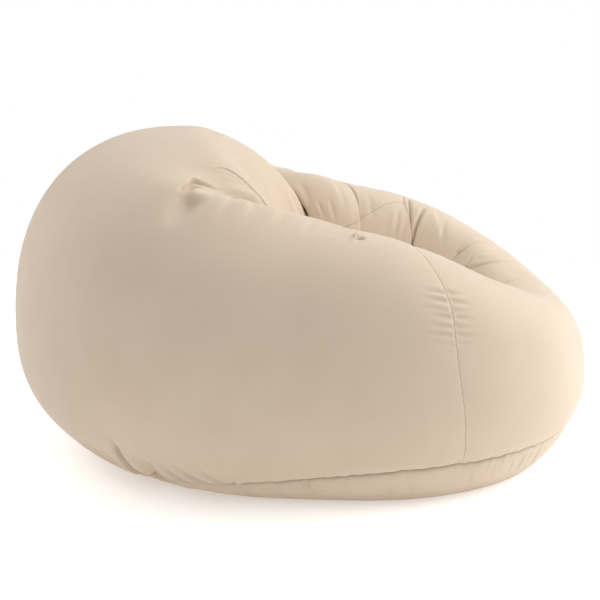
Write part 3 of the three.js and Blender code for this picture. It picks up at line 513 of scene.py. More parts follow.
@dataclass
class Relief:
    """All seams, pleats and wrinkles of the cover."""

    seams: list
    folds: list
    drawn: list = field(default_factory=list)
    between_pleats: tuple = (3, 4, 4, 6, 6, 8)
    back_fullness: float = 5 * MM
    front_fullness: float = 3 * MM
    far_arm_rise: float = 13 * MM
    far_crest_dip: float = 14 * MM
    far_crease_fill: float = 85 * MM
    standing: float = 12 * MM
    span: float = 6.0

    def prepare(self) -> None:
        """Draws every fold's lines on the skin once."""
        self.drawn = [(fold, *made) for number, fold in enumerate(self.folds) for made in fold.lines(number)]

    def press(self, patch: Patch, broad_only: bool = False, depth: float = 0.0) -> Array:
        """A patch's points with the relief pressed in.

        Args:
            patch: The places.
            broad_only: Leaves out what is too fine for the bladder to follow.
            depth: How far under the cloth the points lie.

        Returns:
            Points, of the patch's own shape.
        """
        point, normal = patch.point.reshape(-1, 3), patch.normal.reshape(-1, 3)
        lift, slide = np.zeros(len(point)), np.zeros((len(point), 3))
        for fold, line, own, size in self.drawn:
            if broad_only and not fold.broad:
                continue
            index, across, along, left = line.measure(point, normal, self.span * fold.reach)
            lift[index] += fold.lift(-own * across, along, line.length, size)
            if fold.lap and not broad_only:
                slid = fold.slide(-own * across, along, line.length, size)
                slide[index] -= own * left * slid[:, None]
        if not broad_only:
            for seam in self.seams:
                seam.press(point, normal, lift, slide)
        standing = ramp(0.0, self.standing, patch.point[..., 2])
        lift = (lift.reshape(patch.angle.shape) + self.swell(patch)) * standing
        points = patch.layer(lift, depth) + slide.reshape(patch.point.shape) * standing[..., None]
        points[..., 2] = np.maximum(points[..., 2], depth)
        return points

    def swell(self, patch: Patch) -> Array:
        """Fullness of the cloth, in metres: between the pleats, and where the chair is blown up more."""
        angle, turn = np.abs(patch.angle), patch.turn
        seam, valley = SKIN.seam_angle(turn), SKIN.valley_angle(turn)
        # Bulges between the pleats, which stand at these angles
        marks = [0, 17.8, 44.0, SKIN.front_pleat, seam, SKIN.arm_pleat, valley - 1]
        full = np.zeros_like(angle)
        for low, high, height in zip(marks, marks[1:], self.between_pleats):
            share = np.clip((angle - low) / (np.asarray(high) - low), 0, 1)
            full = np.maximum(full, height * MM * np.sin(np.pi * share) ** 0.7)
        full = full * ramp(84, 112, turn) * (1 - ramp(185, 225, turn))
        full += 0.8 * SKIN.pleats(angle, turn) * ramp(85, 125, turn) * (1 - ramp(185, 230, turn))
        outside = ramp(-60, -10, turn) * (1 - ramp(95, 130, turn))
        full += self.back_fullness * ramp(125, 165, angle) * outside
        full += self.front_fullness * (1 - ramp(35, 75, angle)) * outside
        # The far arm is fuller on top, and its side of the far crease is filled
        far = patch.angle > 0
        full += hump(turn, 92, 24) * far * self.far_arm_rise * hump(angle, 66, 22)
        full -= hump(turn, 76, 13) * far * self.far_crest_dip * hump(angle, 127, 9)
        wall = ramp(80, 100, turn) * (1 - ramp(165, 205, turn)) * far
        crease, drawn = (np.exp(-np.abs(angle - middle) / SKIN.crease_reach) for middle in (valley, valley + 5))
        return full + wall * self.far_crease_fill * (crease - drawn) * ramp(-3, 3, valley - angle)


def folds(rows: Sequence[tuple], **style: object) -> list:
    """Folds of one style.

    Args:
        rows: For each fold its depth and reach in millimetres, its path, and its fade where the style has none.
        style: What all of them share.

    Returns:
        The folds, in the order of the rows.
    """
    made = []
    for depth, reach, path, *fade in rows:
        own = {"fade": fade[0]} if fade else {}
        made.append(Fold(path, depth * MM, reach * MM, **style, **own))
    return made


def side_puckers() -> list:
    """Level puckers that cross the side seam, the tallest a little over half-way up."""
    made = []
    heights = (2.2, 2.5, 2.3, 2.9, 2.5, 2.7, 1.6)
    for number, (turn, height) in enumerate(zip((51.6, 47.5, 42.5, 39.5, 34.4, 30.3, 25.6), heights)):
        seam = float(SKIN.seam_angle(turn))
        back, front = 5.6 + 1.2 * (number % 3), 4.8 + 1.1 * (number % 2)
        behind = ((seam + back, turn - 1.8), (seam + 0.1, turn + 0.3))
        ahead = ((seam - 0.1, turn + 0.4), (seam - front, turn + 2.4))
        made.append(Fold(behind, height * MM, 4.2 * MM, fade=(0.75, 0.18)))
        made.append(Fold(ahead, height * MM, 4.2 * MM, fade=(0.18, 0.75)))
    return made


def band_folds() -> list:
    """Soft slanting folds in the narrow band between the base seam and the floor."""
    made = []
    depths = {139: 3.0, 131: 2.2, 124: 3.6, 118: 2.0, 111.5: 3.6, 104: 1.8, 95.5: 2.6, 91: 2.2, 83: 0.8, 76: 1.0,
              69: 0.7, 63: 1.2, 59: 2.2, 56: 1.0, 51: 2.4, 47: 1.0, 38: 1.0, 29: 0.8, 17: 0.8}
    for number, (angle, depth) in enumerate(depths.items()):
        low = -50 if angle < 66 else -55
        path = ((angle, low), (angle - 0.4, low - 7), (angle - 1.4, low - 17))
        made.append(Fold(path, depth * MM, (5, 3, 4)[number % 3] * MM, fade=(0.12, 0.3)))
    return made


def chair_seams() -> list:
    """Seams of the cover, in the order in which they are sewn."""
    side = dict(pucker=0.5 * MM, pucker_reach=12 * MM, width=3.4 * MM, spacing=(12 * MM, 26 * MM))
    return [
        Seam(grid_line((ROUND - SIDE_SEAM, ROUND - SIDE_SEAM), (0, FRONT_ROW + 2), 90), seed=5, **side),
        Seam(grid_line((SIDE_SEAM, SIDE_SEAM), (0, FRONT_ROW + 2), 90), seed=6, **side),
        Seam(grid_line((0, ROUND), (0, 0), 400), groove=3.6 * MM, groove_reach=2.8 * MM, hollow=2.0 * MM,
             pucker=2.2 * MM, pucker_reach=16 * MM, spacing=(16 * MM, 36 * MM), width=5 * MM, seed=8,
             scallop=5.5 * MM),
        Seam(grid_line((SIDE_SEAM, ROUND - SIDE_SEAM), (ARM_ROW, ARM_ROW), 200), seed=11, pucker=0.9 * MM),
        Seam(grid_line((-SIDE_SEAM, SIDE_SEAM), (FRONT_ROW, FRONT_ROW), 90), seed=12),
        Seam(grid_line((VALLEY, VALLEY), (ARM_ROW, SEAT_ROW), 50), seed=13, groove=2.5 * MM),
        Seam(grid_line((ROUND - VALLEY, ROUND - VALLEY), (ARM_ROW, SEAT_ROW), 50), seed=14, groove=2.5 * MM),
        Seam(grid_line((BACK, BACK), (0, ARM_ROW), 60), seed=15, pucker=1.1 * MM),
        Seam(grid_line((0, ROUND), (SEAT_ROW, SEAT_ROW), 200), seed=16, groove=4 * MM, groove_reach=4 * MM,
             pucker=1.6 * MM, pucker_reach=18 * MM),
    ]


def wall_pleats() -> list:
    """Pleats of the inner wall and the fine drag lines at their ends."""
    far = dict(side=Side.FAR)
    pleat = dict(press=Press.PLEAT, broad=True, lap=1.5 * MM, **far)
    fine = dict(press=Press.LAP, fade=(0.35, 0.35), **far)
    return [
        Fold(((110.8, 85), (110.2, 95), (109.6, 110), (111, 130), (111.5, 160), (112, 200)), 7 * MM, 2.0 * MM,
             fade=(0.05, 0.3), **pleat),
        Fold(((108.2, 91), (109.4, 94), (110.2, 100)), 1.6 * MM, 2.4 * MM, press=Press.LAP, fade=(0.4, 0.3), **far),
        Fold(((112.8, 90), (111.4, 95), (110.4, 102)), 1.6 * MM, 2.4 * MM, fade=(0.4, 0.4), **far),
        *folds([
            (7, 2.0, ((87.8, 91), (86.8, 104), (86.0, 113), (85.2, 130), (85, 165), (85, 200)), (0.04, 0.3)),
            (11, 3.0, ((81.2, 95), (82.4, 109), (84.4, 127), (85, 150)), (0.15, 0.5)),
            (9, 2.2, ((53.0, 80), (53.4, 90), (54.6, 100), (57.0, 110), (61.0, 122), (63, 150),
                (63, 190)), (0.12, 0.3)),
            (8, 2.4, ((36.0, 74), (36.6, 84), (37.8, 94), (40.4, 103), (44.6, 111), (49.0, 121),
                (50, 140)), (0.25, 0.3)),
            (6, 4, ((18.6, 90), (17.8, 99), (17.2, 110), (17.5, 150)), (0.3, 0.4)),
        ], **pleat),
        *folds([
            (3.2, 2.8, ((41.0, 74), (41.4, 84), (43.0, 95), (47.0, 105.5), (51.0, 112))),
            (2.4, 2.4, ((37.6, 76), (38.4, 86), (40.4, 97), (44.6, 105))),
            (2.8, 2.8, ((45.2, 76), (45.4, 86), (47.4, 98), (52.4, 107))),
            (2.0, 2.6, ((48.6, 80), (49.2, 90), (51.0, 100), (55.4, 108))),
        ], **fine),
        *folds([
            (2.4, 5, ((91.5, 104), (92.6, 118), (94.5, 134)), (0.4, 0.4)),
            (2.6, 4, ((88.6, 112), (89.8, 124), (92.0, 138)), (0.4, 0.3)),
            (1.8, 6, ((79.5, 84), (75.0, 98), (70.0, 110), (68.0, 122)), (0.4, 0.4)),
            (1.5, 4, ((73.6, 90), (71.2, 103), (69.4, 118)), (0.4, 0.4)),
            (2.6, 3, ((122.6, 112), (122.4, 119), (122.0, 126)), (0.35, 0.35)),
            (2.2, 3.4, ((119.6, 112), (119.6, 121), (119.4, 130)), (0.35, 0.35)),
            (1.5, 6, ((116.4, 96), (115.6, 108), (115.4, 124)), (0.4, 0.4)),
            (1.5, 7, ((105.0, 100), (104.0, 112), (104.6, 128)), (0.4, 0.4)),
            (2.4, 6, ((126.5, 94), (125.0, 106), (124.6, 122)), (0.4, 0.4)),
        ], **far),
    ]


def backrest_folds() -> list:
    """The pinched pocket over the crease and the fan of folds that runs from it over the backrest."""
    thin = dict(press=Press.LAP, fade=(0.5, 0.15))
    back = dict(press=Press.LAP, fade=(0.35, 0.3), side=Side.FAR)
    return [
        Fold(((136.6, 60.5), (139.0, 67.6), (142.0, 75.2), (141.8, 78.6), (140.6, 82), (139.6, 88)), 13 * MM, 6 * MM,
             press=Press.LAP, fade=(0.3, 0.5), broad=True, lap=4 * MM),
        Fold(((137.0, 62.8), (138.0, 67.0), (139.6, 72.5), (140.3, 77.5)), 17 * MM, 7.5 * MM, press=Press.HOLLOW,
             fade=(0.3, 0.4), broad=True),
        Fold(((134.8, 60.5), (135.6, 66), (137.8, 75), (138.8, 84)), 4.0 * MM, 2.8 * MM, press=Press.RIDGE,
             fade=(0.3, 0.5)),
        Fold(((140.6, 84), (138.9, 94), (136.6, 104)), 6 * MM, 12 * MM, press=Press.RIDGE, fade=(0.4, 0.3)),
        Fold(((143.6, 77), (146.0, 88), (146.6, 94.5), (144.2, 99.0), (140.8, 101.4), (137.4, 103.6), (135.2, 105)),
             4.6 * MM, 2.4 * MM, press=Press.LAP, fade=(0.75, 0.04), lap=2.5 * MM),
        *folds([
            (1.2, 1.8, ((142.4, 76), (144.6, 86), (144.6, 93), (141.6, 97.2), (137.4, 100.4))),
            (1.5, 2.2, ((145.2, 77), (147.8, 88), (148.4, 96), (145.8, 101), (142.0, 104))),
            (1.0, 2.4, ((146.8, 78), (149.6, 88), (150.4, 98), (147.8, 104), (144.0, 108))),
            (0.9, 1.8, ((141.8, 74), (143.4, 84), (142.6, 91), (139.6, 95.6), (137.0, 99))),
            (0.8, 1.8, ((141.6, 78), (142.0, 85), (140.6, 90.6), (138.2, 94))),
        ], **thin),
        *folds([
            (2.6, 2.2, ((144.8, 110), (143.8, 121), (142.6, 131), (140.5, 142))),
            (1.6, 2.6, ((147.6, 110), (146.6, 122), (145.2, 134))),
            (1.6, 2.6, ((150.6, 110), (149.8, 122), (148.4, 134))),
            (1.0, 3.2, ((156.0, 112), (155.0, 124), (153.4, 136))),
        ], **back),
        Fold(((139.5, 104), (137.4, 124), (134.0, 142), (132.0, 160)), 3.2 * MM, 7 * MM, fade=(0.3, 0.3), broad=True),
    ]


def arm_folds() -> list:
    """Soft folds on the arm's top, the pinched dimple on its crest and the gathers low at the back."""
    gather = dict(press=Press.LAP, fade=(0.1, 0.6), lap=1.5 * MM)
    return [
        *folds([
            (2.4, 7, ((127.2, 50), (127.4, 60), (129.6, 70), (132.6, 79)), (0.35, 0.5)),
            (2.2, 8, ((123.2, 56), (124.0, 66), (126.4, 74), (130.0, 83)), (0.4, 0.5)),
            (2.6, 9, ((119.0, 60), (119.6, 70), (121.2, 79), (123.4, 87)), (0.4, 0.5)),
            (1.8, 8, ((113.6, 62), (114.2, 74), (115.6, 85)), (0.4, 0.5)),
        ]),
        Fold(((103.7, 77.2), (103.1, 80.8)), 17 * MM, 4.6 * MM, press=Press.HOLLOW, fade=(0, 0)),
        Fold(((103.9, 74.8), (104.5, 77.4), (104.8, 80.6), (103.8, 83.6)), 8.0 * MM, 2.3 * MM, press=Press.RIDGE,
             fade=(0.35, 0.35), alone=True),
        *folds([
            (1.4, 3.0, ((102.4, 79.8), (100.8, 81.4), (99.0, 84.0)), (0.2, 0.5)),
            (1.8, 5.0, ((104.8, 76.0), (106.0, 70.0), (107.8, 61.0)), (0.2, 0.6)),
            (1.6, 5.0, ((106.0, 79.6), (108.6, 75.0), (111.6, 68.0)), (0.2, 0.6)),
        ]),
        Fold(((134.8, 65), (133.8, 60), (133.3, 55), (132.8, 49), (132.0, 42)), 20 * MM, 19 * MM, press=Press.HOLLOW,
             fade=(0.25, 0.7), broad=True),
        Fold(((146, -63), (144.6, -54), (142.8, -45), (141.1, -36.5), (140.4, -31)), 14 * MM, 6 * MM,
             press=Press.LAP, fade=(0.2, 0.3), lap=5 * MM),
        Fold(((140.6, -60), (138.4, -46), (138.2, -36)), 13 * MM, 16 * MM, press=Press.HOLLOW, fade=(0.05, 0.6),
             broad=True),
        *folds([
            (8, 5, ((147.5, -60), (146.8, -52), (145.8, -43.5), (144.6, -34))),
            (8, 5, ((149.6, -58), (148.8, -45), (147.6, -34))),
            (7, 5, ((152.4, -58), (151.6, -45), (150.8, -34))),
            (5, 5, ((155.6, -58), (155.0, -46), (154.4, -35))),
            (3.5, 5, ((159.2, -58), (158.8, -47), (158.4, -36))),
            (8, 5, ((138.2, -58), (137.2, -47.7), (136.4, -38))),
            (8, 5.5, ((133.2, -58), (134.0, -50.7), (134.6, -42))),
            (7.5, 5.5, ((129.0, -58), (130.9, -50), (131.6, -41))),
            (5.5, 5, ((125.8, -58), (127.0, -51.4), (127.6, -44))),
        ], **gather),
        Fold(((121.0, -44), (122.6, -51), (124.6, -56.5)), 1.4 * MM, 6 * MM, fade=(0.6, 0.2)),
        Fold(((84.0, -20), (84.6, -36), (85.6, -50)), 1.0 * MM, 9 * MM, fade=(0.5, 0.4)),
    ]


RELIEF = Relief(chair_seams(), side_puckers() + band_folds() + wall_pleats() + backrest_folds() + arm_folds())


# ---- finishes ----


def linear(hex_colour: str) -> tuple:
    """Linear colour with full alpha from an sRGB hex value."""
    channels = [int(hex_colour.lstrip("#")[k:k + 2], 16) / 255 for k in (0, 2, 4)]
    return (*[c / 12.92 if c <= 0.04045 else ((c + 0.055) / 1.055) ** 2.4 for c in channels], 1.0)


def set_inputs(tree: Tree, node: Node, inputs: dict) -> None:
    """Sets a node's inputs by name or number, and links those whose value is an output socket."""
    for name, value in inputs.items():
        if isinstance(value, Socket):
            tree.links.new(value, node.inputs[name])
        else:
            node.inputs[name].default_value = value


def add_node(tree: Tree, kind: str, settings: Optional[dict] = None, inputs: Optional[dict] = None) -> Node:
    """Adds one node with its settings, and sets or links its inputs.

    Args:
        tree: Node tree of the material or the world.
        kind: The node's type name.
        settings: Properties of the node.
        inputs: For each socket's name or number, a value or an output socket to link to it.

    Returns:
        The new node.
    """
    node = tree.nodes.new(kind)
    for name, value in (settings or {}).items():
        setattr(node, name, value)
    set_inputs(tree, node, inputs or {})
    return node


def new_material(name: str) -> tuple:
    """An empty node material: the material, its tree and its Principled node, already linked."""
    material = bpy.data.materials.new(name)
    material.use_nodes = True
    tree = material.node_tree
    tree.nodes.clear()
    shader = add_node(tree, "ShaderNodeBsdfPrincipled")
    output = add_node(tree, "ShaderNodeOutputMaterial")
    tree.links.new(shader.outputs[0], output.inputs["Surface"])
    return material, tree, shader


def noise(tree: Tree, place: Socket, size: float, detail: float) -> Socket:
    """A noise texture with spots of about a size, in metres."""
    return add_node(tree, "ShaderNodeTexNoise", {}, {"Vector": place, "Scale": 1 / size, "Detail": detail}).outputs[0]


def reckoned(tree: Tree, operation: str, *values: object) -> Socket:
    """The result of a math node."""
    return add_node(tree, "ShaderNodeMath", {"operation": operation}, dict(enumerate(values))).outputs[0]


def blend(tree: Tree, tone: Socket, first: tuple, second: tuple) -> Socket:
    """A colour between two linear ones."""
    return add_node(tree, "ShaderNodeMix", {"data_type": "RGBA"}, {0: tone, 6: first, 7: second}).outputs[2]


def feed(tree: Tree, shader: Node, colour: Socket, rough: tuple, bump: tuple, more: dict) -> None:
    """Feeds a material's Principled node.

    Args:
        tree: The material's node tree.
        shader: Its Principled node.
        colour: The base colour.
        rough: A socket from 0 to 1, and the roughness at 0 and at 1.
        bump: A socket for the height, the bump's strength, and its distance in metres.
        more: Further inputs of the node.
    """
    roughness = add_node(tree, "ShaderNodeMapRange", {}, {0: rough[0], 3: rough[1], 4: rough[2]})
    normal = add_node(tree, "ShaderNodeBump", {}, {"Strength": bump[1], "Distance": bump[2], "Height": bump[0]})
    made = {"Base Color": colour, "Roughness": roughness.outputs[0], "Normal": normal.outputs[0]}
    set_inputs(tree, shader, {**made, **more})


# A wave texture of scale 1 has a band every 0.31416 units
BAND = 0.31416


@dataclass(frozen=True)
class WovenCloth:
    """Brushed polyester cover cloth, piece-dyed: it scatters light softly and has no gloss.

    The real threads are 0.25 mm, finer than the picture shows, so the weave is drawn at three times that.
    """

    name: str = "brushed_polyester_cloth"
    colour: str = "#d3c1ac"
    shade: str = "#cfbca7"
    thread: float = 0.75 * MM
    slub: float = 5 * MM
    mottle: float = 90 * MM
    roughness: float = 0.88
    sheen: float = 0.18
    uv: str = "cloth"

    def material(self) -> bpy.types.Material:
        """Builds the node material."""
        material, tree, shader = new_material(self.name)
        flat = add_node(tree, "ShaderNodeUVMap", {"uv_map": self.uv}).outputs["UV"]
        place = add_node(tree, "ShaderNodeTexCoord").outputs["Object"]
        mottle, slub = noise(tree, place, self.mottle, 2.0), noise(tree, place, self.slub, 3.0)
        grain = reckoned(tree, "MULTIPLY_ADD", slub, 0.45, mottle)
        tone = add_node(tree, "ShaderNodeMapRange", {}, {0: grain, 1: 0.45, 2: 1.0}).outputs[0]
        threads = [add_node(tree, "ShaderNodeTexWave", {"bands_direction": way},
                            {"Vector": flat, "Scale": BAND / self.thread, "Distortion": 0.6, "Detail": 1.0})
                   for way in ("X", "Y")]
        weave = reckoned(tree, "MULTIPLY", *(thread.outputs["Fac"] for thread in threads))
        height = reckoned(tree, "MULTIPLY_ADD", slub, 0.8, weave)
        feed(tree, shader, blend(tree, tone, linear(self.shade), linear(self.colour)),
             (slub, self.roughness - 0.04, self.roughness + 0.06), (height, 0.25, 0.1 * MM),
             {"Specular IOR Level": 0.25, "Sheen Weight": self.sheen, "Sheen Roughness": 0.5})
        return material


@dataclass(frozen=True)
class VinylFilm:
    """Welded soft vinyl film, calendered: off-white, with a faint satin gloss and a fine embossed grain."""

    name: str = "calendered_vinyl_film"
    colour: str = "#e9e8e2"
    shade: str = "#dddbd3"
    grain: float = 1.2 * MM
    sag: float = 22 * MM
    roughness: float = 0.4

    def material(self) -> bpy.types.Material:
        """Builds the node material."""
        material, tree, shader = new_material(self.name)
        place = add_node(tree, "ShaderNodeTexCoord").outputs["Object"]
        grain = add_node(tree, "ShaderNodeTexVoronoi", {}, {"Vector": place, "Scale": 1 / self.grain})
        sag = noise(tree, place, self.sag, 2.0)
        height = reckoned(tree, "MULTIPLY_ADD", sag, 8.0, grain.outputs["Distance"])
        feed(tree, shader, blend(tree, sag, linear(self.shade), linear(self.colour)),
             (sag, self.roughness - 0.06, self.roughness + 0.08), (height, 0.3, 0.1 * MM), {"IOR": 1.53})
        return material


@dataclass(frozen=True)
class Moulded:
    """A moulded part: a fine eroded grain from the mould, a little worn, over one colour.

    As soft vinyl it has a satin gloss, as rubber hardly any, as nylon a smooth one.
    """

    name: str
    colour: str
    shade: str
    grain: float = 0.6 * MM
    wear: float = 25 * MM
    roughness: float = 0.45
    ior: float = 1.53
    depth: float = 0.04 * MM

    def material(self) -> bpy.types.Material:
        """Builds the node material."""
        material, tree, shader = new_material(self.name)
        place = add_node(tree, "ShaderNodeTexCoord").outputs["Object"]
        grain, worn = noise(tree, place, self.grain, 4.0), noise(tree, place, self.wear, 3.0)
        feed(tree, shader, blend(tree, worn, linear(self.shade), linear(self.colour)),
             (worn, self.roughness - 0.08, self.roughness + 0.1), (grain, 0.5, self.depth), {"IOR": self.ior})
        return material


@dataclass(frozen=True)
class SatinNickel:
    """Die-cast zinc with satin nickel plate: fine tumbling marks in all directions, and a faint haze of lighter and
    darker patches.
    """

    name: str = "satin_nickel_plate"
    colour: str = "#c9c4ba"
    shade: str = "#a8a39a"
    mark: float = 0.35 * MM
    haze: float = 6.25 * MM
    roughness: float = 0.32

    def material(self) -> bpy.types.Material:
        """Builds the node material."""
        material, tree, shader = new_material(self.name)
        place = add_node(tree, "ShaderNodeTexCoord").outputs["Object"]
        marks, haze = noise(tree, place, self.mark, 5.0), noise(tree, place, self.haze, 2.0)
        feed(tree, shader, blend(tree, haze, linear(self.shade), linear(self.colour)),
             (marks, self.roughness - 0.1, self.roughness + 0.14), (marks, 0.4, 0.02 * MM), {"Metallic": 1.0})
        return material


class Finish(Enum):
    """Finishes of the chair."""

    COVER = WovenCloth()
    FILM = VinylFilm()
    TAPE = WovenCloth(name="woven_zip_tape", colour="#cbb69e", shade="#c0ab92", thread=0.7 * MM, slub=2 * MM,
                      mottle=30 * MM, roughness=0.8, sheen=0.1)
    COIL = Moulded("nylon_zip_coil", "#d6c3ac", "#c9b59c", grain=0.5 * MM, roughness=0.35, depth=0.01 * MM)
    METAL = SatinNickel()
    VALVE = Moulded("moulded_soft_vinyl", "#f0ede6", "#e6e2d9", grain=0.7 * MM, roughness=0.42)
    RUBBER = Moulded("moulded_rubber", "#76726d", "#6a6661", grain=0.5 * MM, roughness=0.62, ior=1.52)


class Wardrobe:
    """Makes each finish's material once and hands it out."""

    def __init__(self) -> None:
        """Starts with nothing made."""
        self.made: dict = {}

    def dress(self, piece: Piece, finish: Finish) -> None:
        """Gives a piece its material in place of any that it has."""
        if finish not in self.made:
            self.made[finish] = finish.value.material()
        piece.data.materials.clear()
        piece.data.materials.append(self.made[finish])


WARDROBE = Wardrobe()


# ---- meshes ----


def graded(low: float, high: float, keys: Sequence[float], sizes: Callable, fine: float, coarse: float,
           spread: float) -> Array:
    """Places from low to high that are close together near some keys.

    Args:
        low: First place, in columns or rows.
        high: Last place.
        keys: Places that get the fine spacing.
        sizes: Metres per column or row at each place.
        fine: Spacing at the keys, in metres.
        coarse: Spacing away from them.
        spread: Metres over which the spacing grows.

    Returns:
        The places.
    """
    place = np.linspace(low, high, 1500)
    metres = np.concatenate([[0], np.cumsum(np.diff(place) * sizes((place[1:] + place[:-1]) / 2))])
    marks = np.interp([key for key in keys if low <= key <= high], place, metres)
    away = np.abs(metres[:, None] - marks[None]).min(1) if len(marks) else np.full_like(metres, spread)
    spacing = fine + (coarse - fine) * ramp(0, spread, away)
    steps = np.concatenate([[0], np.cumsum(np.diff(metres) * 2 / (spacing[1:] + spacing[:-1]))])
    count = max(4, int(math.ceil(steps[-1])))
    return np.interp(np.linspace(0, steps[-1], count + 1), steps, place)


def pace(axis: int, across: Sequence[float]) -> Callable:
    """Metres per column (axis 0) or per row (axis 1) at any place, at the widest of some places across."""
    across = np.array(across, float)
    fine = np.linspace(0, LOOP, 401) if axis else np.linspace(-ROUND, 2 * ROUND, 1201)
    point = SKIN.patch(*((across, fine) if axis else (fine, across))).point
    sizes = np.linalg.norm(np.diff(point, axis=axis), axis=-1).max(1 - axis) / (fine[1] - fine[0])
    return lambda place: np.interp(place, (fine[1:] + fine[:-1]) / 2, sizes)


def grid_faces(columns: int, rows: int, round_columns: bool = False, round_rows: bool = False) -> Array:
    """Four-sided faces of a grid of points, columns first."""
    index = np.arange(columns * rows).reshape(columns, rows)
    if round_columns:
        index = np.concatenate([index, index[:1]], 0)
    if round_rows:
        index = np.concatenate([index, index[:, :1]], 1)
    corners = [index[:-1, :-1], index[1:, :-1], index[1:, 1:], index[:-1, 1:]]
    return np.stack(corners, -1).reshape(-1, 4)


def hub_faces(columns: int, rows: int) -> list:
    """Faces of a grid that runs round, closed by a fan from its last row to one more point."""
    last = rows - 1
    fan = [[i * rows + last, (i + 1) % columns * rows + last, columns * rows] for i in range(columns)]
    return grid_faces(columns, rows, True).tolist() + fan


def lengths_over(points: Array) -> tuple:
    """Mean distances of a grid's columns and rows from its first ones, in metres."""
    across = np.linalg.norm(np.diff(points, axis=0), axis=-1).mean(1)
    along = np.linalg.norm(np.diff(points, axis=1), axis=-1).mean(0)
    return np.concatenate([[0], np.cumsum(across)]), np.concatenate([[0], np.cumsum(along)])


def make_piece(name: str, points: Array, faces: Sequence, flat: Optional[Array] = None) -> Piece:
    """Makes a smooth mesh object at the origin.

    Args:
        name: The piece's name.
        points: Its points, one a row.
        faces: Its faces, as lists of indices.
        flat: For each point its place on the flat cloth, in metres.

    Returns:
        The new object.
    """
    mesh = bpy.data.meshes.new(name)
    mesh.from_pydata(np.asarray(points, float).reshape(-1, 3).tolist(), [], [list(map(int, f)) for f in faces])
    if flat is not None:
        corner = np.zeros(len(mesh.loops), np.int32)
        mesh.loops.foreach_get("vertex_index", corner)
        layer = mesh.uv_layers.new(name="cloth")
        layer.data.foreach_set("uv", np.asarray(flat, np.float32).reshape(-1, 2)[corner].ravel())
    mesh.polygons.foreach_set("use_smooth", np.ones(len(mesh.polygons), bool))
    mesh.update()
    piece = bpy.data.objects.new(name, mesh)
    bpy.context.scene.collection.objects.link(piece)
    return piece


def flat_grid(points: Array) -> Array:
    """Place on the flat cloth of each point of a grid."""
    across, along = lengths_over(points)
    return np.stack(np.meshgrid(across, along, indexing="ij"), -1)


def settle(piece: Piece, finish: Finish, body: str = "chair", replaces: Sequence[str] = ()) -> Piece:
    """Dresses a finished piece, puts it on its body and hides the nodes that it stands for."""
    WARDROBE.dress(piece, finish)
    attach(piece, body)
    if replaces:
        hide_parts(*replaces)
    log.info("%s: %d faces", piece.name, len(piece.data.polygons))
    return piece


@dataclass(frozen=True)
class SheetKind:
    """A kind of sheet: its finish, its material slot and the end of its pieces' names."""

    finish: Finish
    slot: str
    ending: str


COVER = SheetKind(Finish.COVER, "cover_cloth", "_cloth")
FILM = SheetKind(Finish.FILM, "bladder_film", "_film")


def make_sheet(kind: SheetKind, node: str, points: Array, faces: Sequence, flat: Array) -> None:
    """Args:
        kind: The kind of sheet.
        node: The solid's node.
        points: The sheet's points.
        faces: Its faces, as lists of indices.
        flat: For each point its place on the flat cloth, in metres.
    """
    piece = make_piece(node + kind.ending, points, faces, flat)
    settle(piece, kind.finish, replaces=[node])


# ---- cover ----


@dataclass(frozen=True)
class Panel:
    """One sewn panel: its part of the solids' grid, and the fine spacing's places on it."""

    name: str
    columns: tuple
    rows: tuple
    fine_columns: tuple = ()
    fine_rows: tuple = ()


# Rows of the side panels near which the side puckers and the arm's top need the fine spacing
SIDE_ROWS = (0, 4.6, 5.6, 6.6, 7.6, 8.5, 10)


